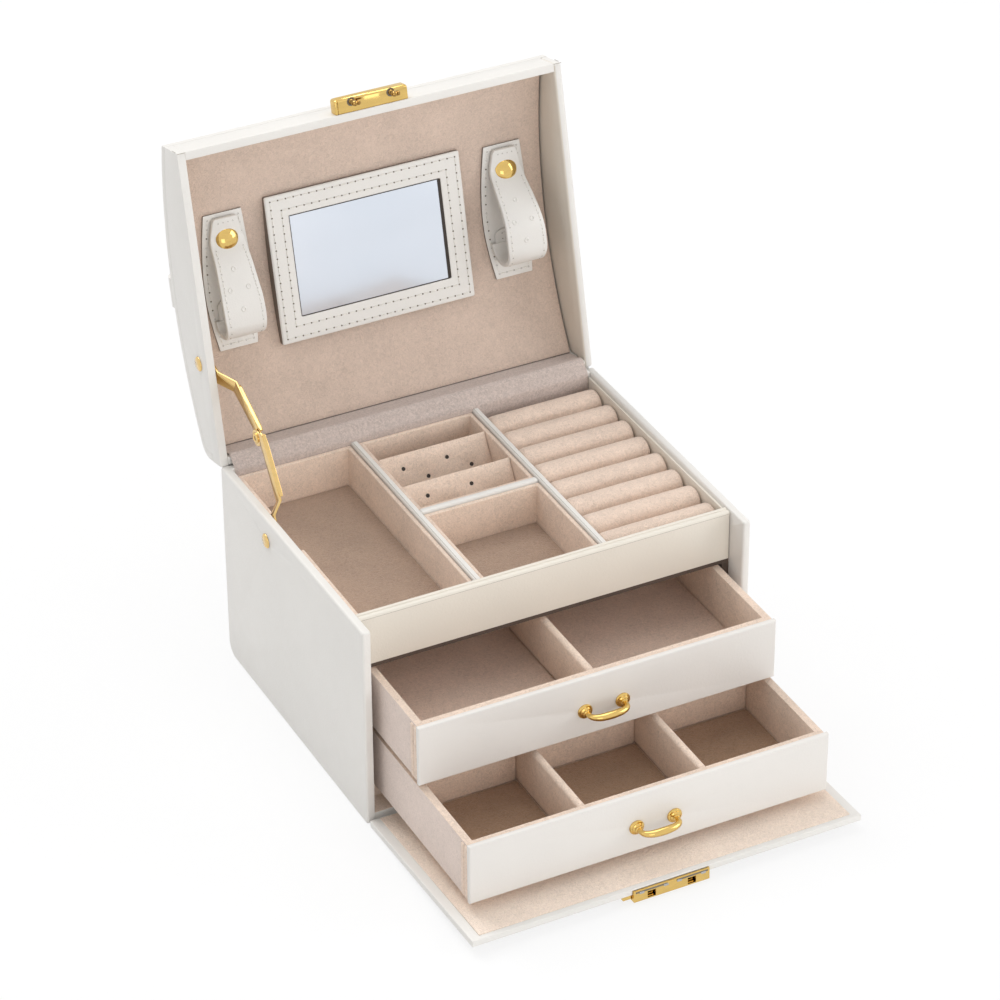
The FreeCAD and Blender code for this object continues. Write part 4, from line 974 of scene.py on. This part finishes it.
# Stops of an arm are (distance from its rivet, X, rise above the rivet line, half width).
LOWER_ARM = [
    (-2.7, NEAR, 0, 0.5), (-2.4, NEAR, 0, 1.3), (-1.5, NEAR, 0.3, 2.1), (0, NEAR, 0.6, 2.6),
    (4.5, NEAR, 2.6, 2.7), (9.0, NEAR, 3.7, 2.6), (14.2, LOW, 4.4, 2.6), (28, LOW, 5.1, 2.6),
    (36, LOW, 5.0, 2.6), (40.5, LOW, 4.8, 2.6), (42.3, LOW, 4.6, 2.3), (43.0, LOW, 4.5, 1.7)]
UPPER_ARM = [
    (-2.7, NEAR, 0, 0.5), (-2.4, NEAR, 0, 1.3), (-1.5, NEAR, 0, 2.3), (0, NEAR, 0, 3.1),
    (5, NEAR, 0.1, 3.5), (8.5, NEAR, 0.3, 3.6), (15.5, HIGH, 0.6, 3.4), (24, HIGH, 0.7, 2.9),
    (34, HIGH, 0.7, 2.5), (40.6, HIGH, 0.8, 2.3), (43.4, HIGH, 0.5, 1.6),
    (44.0, HIGH, 0.4, 0.9)]
EYELET = [(0, 0.1), (0.95, 0.1), (1.0, 0.42), (1.25, 0.7), (1.65, 0.74), (2.05, 0.55),
          (2.3, 0.2), (2.3, -0.02), (1.1, -0.02), (1.1, -2.3), (1.7, -2.35), (1.7, -2.6),
          (0, -2.7)]


def stay_arm(body, pivot, stops, lip_stop, lip_run, ear_radius):
    """A pressed arm: joggled off the wall, edge turned, an ear at the elbow for the eyelet.

    The turned lip stands on the stop lip_stop, and runs through the distances lip_run."""
    along = (ELBOW - pivot).normalized()
    up = Vector((0, -along.z, along.y))
    if up.y > 0:
        up = -up
    line = [pivot + along * (s * 0.001) + up * (rise * 0.001) + mm(x, 0, 0)
            for s, x, rise, half in stops]
    halves = [half * 0.001 for s, x, rise, half in stops]
    arm = strip_along(body, line, halves, up, ARM_THICK, 0.22)
    x, rise, half = stops[lip_stop][1:]
    lip = [pivot + along * (s * 0.001) + up * ((rise + half - 0.42) * 0.001)
           + mm(x + 0.6, 0, 0) for s in lip_run]
    lip = strip_along(body + "_lip", lip, [0.0006, 0.00085, 0.00085, 0.0006], ACROSS,
                      ARM_THICK, 0.2)
    r = ear_radius
    ear = turned(body + "_ear", [(0, 0.44), (r - 0.25, 0.44), (r, 0.2), (r, -0.2),
                                 (r - 0.25, -0.44), (0, -0.44)], 32,
                 seat(ELBOW + mm(stops[-3][1], 0, 0), -ACROSS, along))
    whole = smoothed(finished(joined(body, [arm, lip, ear]), PALE_GOLD), 32)
    fitted(whole, body, body + "_arm")
    return along, up


def folding_stay():
    wrapped("stay_case_rivet", PALE_GOLD, 0.5)
    wrapped("stay_lid_rivet", PALE_GOLD, 0.5)
    stay_arm("stay_lower", CASE_RIVET, LOWER_ARM, 7, (15.5, 18, 38, 42), 3.7)
    along, up = stay_arm("stay_upper", LID_RIVET, UPPER_ARM, 7, (17, 19, 39, 41), 2.3)
    eyelet = turned("stay_eyelet", EYELET, 36,
                    seat(ELBOW + mm(-79.5, 0, 0), -ACROSS, along))
    fitted(finished(eyelet, PALE_GOLD), "stay_lower", "stay_elbow_rivet")
    bore = repeated("eyelet_bore", hole_model(0.98),
                    [seat(ELBOW + mm(-79.68, 0, 0), -ACROSS, along)])
    fitted(bore, "stay_lower")
    slot_at = LID_RIVET + along * 0.0365 + up * 0.00325 + mm(HIGH + 0.55, 0, 0)
    slot = repeated("stay_slot", slot_mouth(4.6, 0.75), [seat(slot_at, up, along)])
    fitted(slot, "stay_upper")


def slot_mouth(length, width):
    """The mouth of a pressed slot, dark with painted shade."""
    return finished(bar((length, width, 0.16), width * 0.3, 3), HOLE_SHADE)


PIN_POST = [(1.3, -0.02), (1.1, 0.5), (0.8, 0.9), (0.8, 1.9), (1.2, 2.1), (1.25, 2.5),
            (0.85, 2.7), (0.85, 2.95), (1.2, 3.15), (1.25, 3.7), (1.0, 4.3), (0.5, 4.55),
            (0, 4.6)]
PIN_HOOK = [(0, 0), (0.9, 0.0), (0.95, 0.8), (0.7, 1.0), (0.7, 1.2), (1.05, 1.4),
            (1.1, 2.1), (0.8, 2.5), (0, 2.6)]


def hasp():
    """The clasp on the lid's edge: a block with a thin end cap, and two hooked pins."""
    block = wrapped("hasp_block", GOLD, 0.42, "hasp")
    cap = copied(block, "hasp_end_cap")
    for piece, x, keep in ((block, -15.05, True), (cap, -15.3, False)):
        open_mesh(piece)
        bpy.ops.mesh.bisect(plane_co=mm(x, 0, 0), plane_no=ACROSS, use_fill=True,
                            clear_inner=keep, clear_outer=not keep)
        close_mesh()
    fitted(cap, "lid")
    post = turned("pin_post", PIN_POST, 28)
    hook = turned("pin_hook", PIN_HOOK, 24, seat(mm(-0.3, 0, 3.6), ACROSS, UP))
    pin = finished(joined("pin", [post, hook]), GOLD_PAINTED_DARK_REFLECTION)
    seats = [LID_TURN @ seat(mm(x, -72.5, 93.5), DOWN) for x in (-9, 9)]
    pins = smoothed(repeated("hasp_hooks", pin, seats), 32)
    fitted(pins, "lid", "hasp_pins")
    # Dark wells round the pins' roots: painted shadow.
    sinks = [LID_TURN @ seat(mm(x, -72.5, 93.46), DOWN) for x in (-9.2, 8.8)]
    fitted(repeated("pin_wells", hole_model(1.9), sinks), "lid")


def lock():
    """The lock's end plate: two long slots along its edge, with the base plate's tabs."""
    wrapped("lock_case", GOLD, 0.3, "lock_cover")
    wrapped("lock_slide", GOLD, 0.25, "lock_key_slide")
    slots = [FLAP_TURN @ seat(mm(x, -70.15, 93.38), UP) for x in (-9.1, 9.2)]
    fitted(repeated("lock_slots", slot_mouth(14.2, 0.85), slots), "flap")
    tab = finished(bar((2.2, 1.0, 0.5), 0.22), STEEL)
    seats = [FLAP_TURN @ seat(mm(x, -70.6, 93.42), UP) for x in (-13.4, -2.6, 3.4, 14.2)]
    fitted(repeated("base_plate_tabs", tab, seats), "flap")


# Cloth and cover details.

def corner_folds():
    """The velvet turned round the front corners of the drawers: two soft folds each side,
    and a tuck dark with painted shade."""
    for label, z0, z1, shift in (("upper", 40.4, 66.0, UPPER_OUT),
                                 ("lower", 11.7, 37.2, LOWER_OUT)):
        middle = (z0 + z1) / 2
        for name, size, radius, segments, finish, rows in (
                ("_corner_folds", (1.5, 2.75, z1 - z0), 0.7, 5, VELVET, (-54.1, -51.25)),
                ("_corner_tuck_shades", (0.5, 0.35, z1 - z0 - 0.8), 0.1, 2, HOLE_SHADE,
                 (-49.75,))):
            fold = finished(bar(size, radius, segments), finish)
            seats = [shift @ Matrix.Translation(mm(x, y, middle))
                     for x in (-79.7, 79.7) for y in rows]
            fitted(repeated(label + name, fold, seats), label + "_drawer")


def second_finish(name, finish, chosen):
    """A second finish on the faces of a piece that are chosen by where they lie."""
    piece = bpy.data.objects[name]
    piece.data.materials.append(finish)
    for face in piece.data.polygons:
        if chosen(face):
            face.material_index = 1


def second_finishes():
    """Drawer sides are covered in a paler velvet; the lid's side walls are warmer inside with
    painted shade;
    boards covered in the flap's lining or in dark velvet of painted shade show it on one face."""
    for node in ("upper_drawer_box", "lower_drawer_box"):
        second_finish(node + "_cover", VELVET_SIDE, lambda face: abs(face.center.x) > 0.0788)
    for node, inward in (("lid_left_wall", 1), ("lid_right_wall", -1)):
        second_finish(node + "_cover", PU_WARM_SHADE,
                      lambda face, inward=inward: face.normal.x * inward > 0.7)
    for node, finish, slot, second, chosen in (
            ("tray_floor", VELVET, "velvet", DARK_PAINTED_SHADE, lambda face: face.normal.y < -0.7),
            ("base_board", PU_WHITE, "pu_white", LINING_PAINTED_FLAP_LIGHT, lambda face: face.normal.z > 0.7),
            ("bay_floor", DARK_PAINTED_SHADE, "velvet", LINING_PAINTED_FLAP_LIGHT, lambda face: face.normal.y < -0.3)):
        wrapped(node, finish, 0.2)
        second_finish(node + "_cover", second, chosen)


def cut_edges():
    """The sides of a board cut from the roll show its dark core."""
    for name in ("mirror_frame", "left_strap_patch", "right_strap_patch"):
        second_finish(name + "_cover", CUT_EDGE_AND_SHADOW_LINE,
                      lambda face: abs((LID_BACK.to_3x3() @ face.normal).z) < 0.3)


def longer_lining():
    """The lid's lining reaches down almost to the hinge."""
    piece = bpy.data.objects["lid_lining_cover"]
    open_mesh(piece)
    bpy.ops.mesh.select_mode(type="VERT")
    choose(piece, "vertices", lambda vertex: (LID_BACK @ vertex.co).y > 0.0595)
    bpy.ops.transform.translate(value=LID_TURN.to_3x3() @ mm(0, 2.9, -0.95))
    close_mesh()


def lining_shadow_line():
    """The line below the lid's lining, where the hinge fabric comes out: a painted shadow."""
    line = bar((165.5, 0.36, 0.42), 0.15, 2, (0, 80.98, 94.28))
    line.name = "lining_shadow_line"
    fitted(finished(line, CUT_EDGE_AND_SHADOW_LINE), "lid")


def lid_corner_folds():
    """The cover's folds at the two front corners of the lid, dark with painted shade."""
    seats = []
    for x in (-1, 1):
        upright = (Matrix.Translation(mm(x * 87.25, -68.0, 97.0))
                   @ Matrix.Rotation(math.pi / 2, 4, "Y"))
        seats += [LID_TURN @ upright, LID_TURN @ Matrix.Translation(mm(x * 85.6, -67.9, 93.05))]
    fold = finished(bar((3.6, 0.22, 0.3), 0.09), CREASE_SHADE)
    fitted(repeated("lid_corner_folds", fold, seats), "lid")


def earring_holes():
    """The insides of the holes in the earring cards, dark with painted shade."""
    lean = math.atan(0.68)
    seats = []
    for top_y in (48.6, 25.6):
        card = Matrix.Translation(mm(0, top_y, 88.9)) @ Matrix.Rotation(-lean, 4, "X")
        for across, down in ((-15.0, 6.2), (5.3, 6.2), (-4.9, 11.8), (15.3, 11.8)):
            seats.append(card @ seat(mm(across, -0.8, -down), FORWARD))
    holes = finished(repeated("earring_hole_shades", hole_model(0.88), seats), GAP_SHADOW)
    fitted(holes, "case")


def cover_creases():
    """The fine lines where the cover is turned over a board's edge, or meets the lining, dark
    with painted shade.
    """
    for name, size, places, finish in (
            ("fascia_crease", (166.2, 0.16, 0.16), [(0, -57.46, 91.35)], CREASE_SHADE),
            ("divider_creases", (0.14, 116.4, 0.14),
             [(-29.35, 5.6, 90.98), (27.65, 5.6, 90.98)], CREASE_SHADE),
            ("left_panel_shadow_line", (0.3, 116, 0.26), [(-84.6, 5.4, 92.84)], CUT_EDGE_AND_SHADOW_LINE)):
        line = finished(bar(size, 0.05), finish)
        seats = [Matrix.Translation(mm(*place)) for place in places]
        fitted(repeated(name, line, seats), "case")


def mirror_gap():
    """The gap between the mirror's cut edge and its frame, dark with painted shadow."""
    edges = []
    for size, x, y in (((1.3, 44.3, 0.5), 34.3, -3.25), ((0.3, 44.3, 0.5), -34.85, -3.25),
                       ((69.6, 0.35, 0.5), 0, -25.3), ((69.6, 0.3, 0.5), 0, 18.8)):
        edges.append(bar(size, at=(x + MIRROR_LEFT, y, 111.0)))
    gap = finished(soften(joined("mirror_gap", edges), 0.08, 2), GAP_SHADOW)
    gap.matrix_world = LID_TURN
    fitted(settle(gap), "lid")


def handle_seams():
    """Two seams along the carry handle, set where its upper face lies."""
    handle = frame["nodes"]["carry_handle"]
    pitch, inset = 3.5, 1.7
    rows = [(LID_BACK @ vertex.co).y * 1000 for vertex in handle.data.vertices]
    down = LID_TURN.to_3x3() @ DOWN
    for label, y in (("front", min(rows) + inset), ("rear", max(rows) - inset)):
        seats = []
        for k in range(43):
            above = LID_TURN @ mm(-73.5 + pitch * k, y, 200)
            found, point, normal, face = handle.ray_cast(above, down)
            if found:
                seats.append(seat(point, normal))
        sew("handle_seam_" + label, "lid", seats, pitch)


# The box. A board's number is the radius that its cover gives its edges.

BOARDS = {
    "pu_white": {
        "left_side_panel": 1.4, "right_side_panel": 1.4, "rear_panel": 0.5,
        "front_fascia": 0.5, "left_tray_divider": 0.5, "right_tray_divider": 0.5,
        "cross_divider": 0.9, "lid_dome_panel": 0.4, "lid_left_wall": 1.1,
        "lid_right_wall": 1.1, "lid_front_wall": 0.25, "lid_rear_wall": 0.6,
        "mirror_frame": 0.6, "left_strap_patch": 0.35, "right_strap_patch": 0.35,
        "flap_board": 0.35, "upper_drawer_front": 0.6, "lower_drawer_front": 0.6,
    },
    "velvet": {
        "left_tray_insert": 0.5, "small_tray_insert": 0.5, "earring_insert": 0.5,
        "earring_panels": 0.5, "right_tray_liner": 0.3, "upper_drawer_box": 1.2,
        "lower_drawer_box": 1.2, "upper_drawer_dividers": 1.3, "lower_drawer_dividers": 1.3,
        "flap_lining": 0.2, "lid_lining": 0.4,
    },
}
USUAL = {"pu_white": PU_WHITE, "velvet": VELVET}
# Boards in another finish than the usual one of their slot.
OTHER = {
    "front_fascia": PU_WARM_SHADE, "upper_drawer_front": PU_FRONT, "lower_drawer_front": PU_FRONT,
    "right_tray_liner": PU_WARM_SHADE, "lid_lining": LINING, "flap_lining": LINING_PAINTED_FLAP_LIGHT,
}
# Parts whose own shape is right as it is.
KEPT = {
    "bay_side_walls": DARK_PAINTED_SHADE, "drawer_shelf": DARK_PAINTED_SHADE, "snap_studs": GOLD,
    "carry_handle": PU_WHITE, "lock_base_plate": STEEL, "lock_barrel": GOLD,
    "upper_pull_screws": STEEL, "lower_pull_screws": STEEL,
}

set_camera()
for slot, boards in BOARDS.items():
    for node, radius in boards.items():
        wrapped(node, OTHER.get(node, USUAL[slot]), radius)
wrapped("mirror_glass", MIRROR_PAINTED_REFLECTION, 0.12, "mirror_glass_pane")
for node, finish in KEPT.items():
    finished(frame["nodes"][node], finish)

sew_mirror_frame()
sew_patch("left", -STRAP_X)
sew_patch("right", STRAP_X)
lid_strap("left")
lid_strap("right")
sewn_ends()
hinge_strip()
spine_cover()
ring_rolls()
floor_cards()
drawer_pull("upper_pull", "upper_drawer", "upper_drawer_pull", 51.4, UPPER_OUT)
drawer_pull("lower_pull", "lower_drawer", "lower_drawer_pull", 23.2, LOWER_OUT)
folding_stay()
hasp()
lock()
corner_folds()
cover_creases()
mirror_gap()
second_finishes()
longer_lining()
lining_shadow_line()
lid_corner_folds()
earring_holes()
handle_seams()
cut_edges()


# Studio: white floor, white surroundings and soft lights all round.

# Each lamp: its place, size and power.
LAMPS = {
    "front": ((0.2, -2.3, 0.9), 1.3, 13), "front_low": ((-0.6, -2.2, 0.35), 1.0, 3.8),
    "top": ((0.2, 0.4, 2.2), 1.4, 12.6), "right": ((1.9, -1.1, 1.0), 1.3, 13.2),
    "back_top": ((-0.6, 1.6, 2.0), 1.2, 26), "left": ((-2.3, -0.5, 0.8), 1.3, 1),
}
LAMPS_AIM = Vector((0, 0, 0.1))


def looked_at(tree, share):
    """That share where the camera looks straight at it, or sees it in metal or glass."""
    path = add(tree, "LightPath", {})
    total = path.outputs["Is Camera Ray"]
    for other in ("Is Glossy Ray", "Is Transmission Ray"):
        total = add(tree, "Math", {"operation": "MAXIMUM", 0: total, 1: path.outputs[other]})
    return add(tree, "Math", {"operation": "MULTIPLY", 0: total, 1: share})


def set_studio():
    deselect()
    bpy.ops.mesh.primitive_plane_add(size=14, location=(0, 1.5, -0.0004))
    floor = bpy.context.object
    floor.name = "studio_floor"
    # Matt white paper, lit so that it stays as white as the surroundings where it is seen.
    paper = bpy.data.materials.new("matt_floor_paper")
    paper.use_nodes = True
    tree = paper.node_tree
    surface = add(tree, tree.nodes["Principled BSDF"], {
        "Base Color": (*linear("#F3F3F3"), 1), "Roughness": 0.9, "Specular IOR Level": 0.1})
    mix = add(tree, "MixShader", {"Fac": looked_at(tree, 0.8), 1: surface,
                                  2: add(tree, "Emission", {"Strength": 1.0})})
    add(tree, tree.nodes["Material Output"], {"Surface": mix})
    finished(floor, paper)

    world = bpy.data.worlds.new("studio")
    bpy.context.scene.world = world
    world.use_nodes = True
    tree = world.node_tree
    strength = add(tree, "MapRange", {"Value": looked_at(tree, 1.0), "To Min": 0.5,
                                      "To Max": 1.0})
    add(tree, tree.nodes["Background"], {"Color": (1, 1, 1, 1), "Strength": strength})

    for name, (place, size, power) in LAMPS.items():
        data = bpy.data.lights.new(name, "AREA")
        data.size = size
        data.energy = power
        lamp = bpy.data.objects.new(name, data)
        lamp.visible_glossy = name != "front"
        bpy.context.scene.collection.objects.link(lamp)
        aim = (LAMPS_AIM - Vector(place)).to_track_quat("-Z", "Y").to_matrix().to_4x4()
        lamp.matrix_world = Matrix.Translation(place) @ aim
    bpy.context.scene.view_settings.view_transform = "Standard"


set_studio()
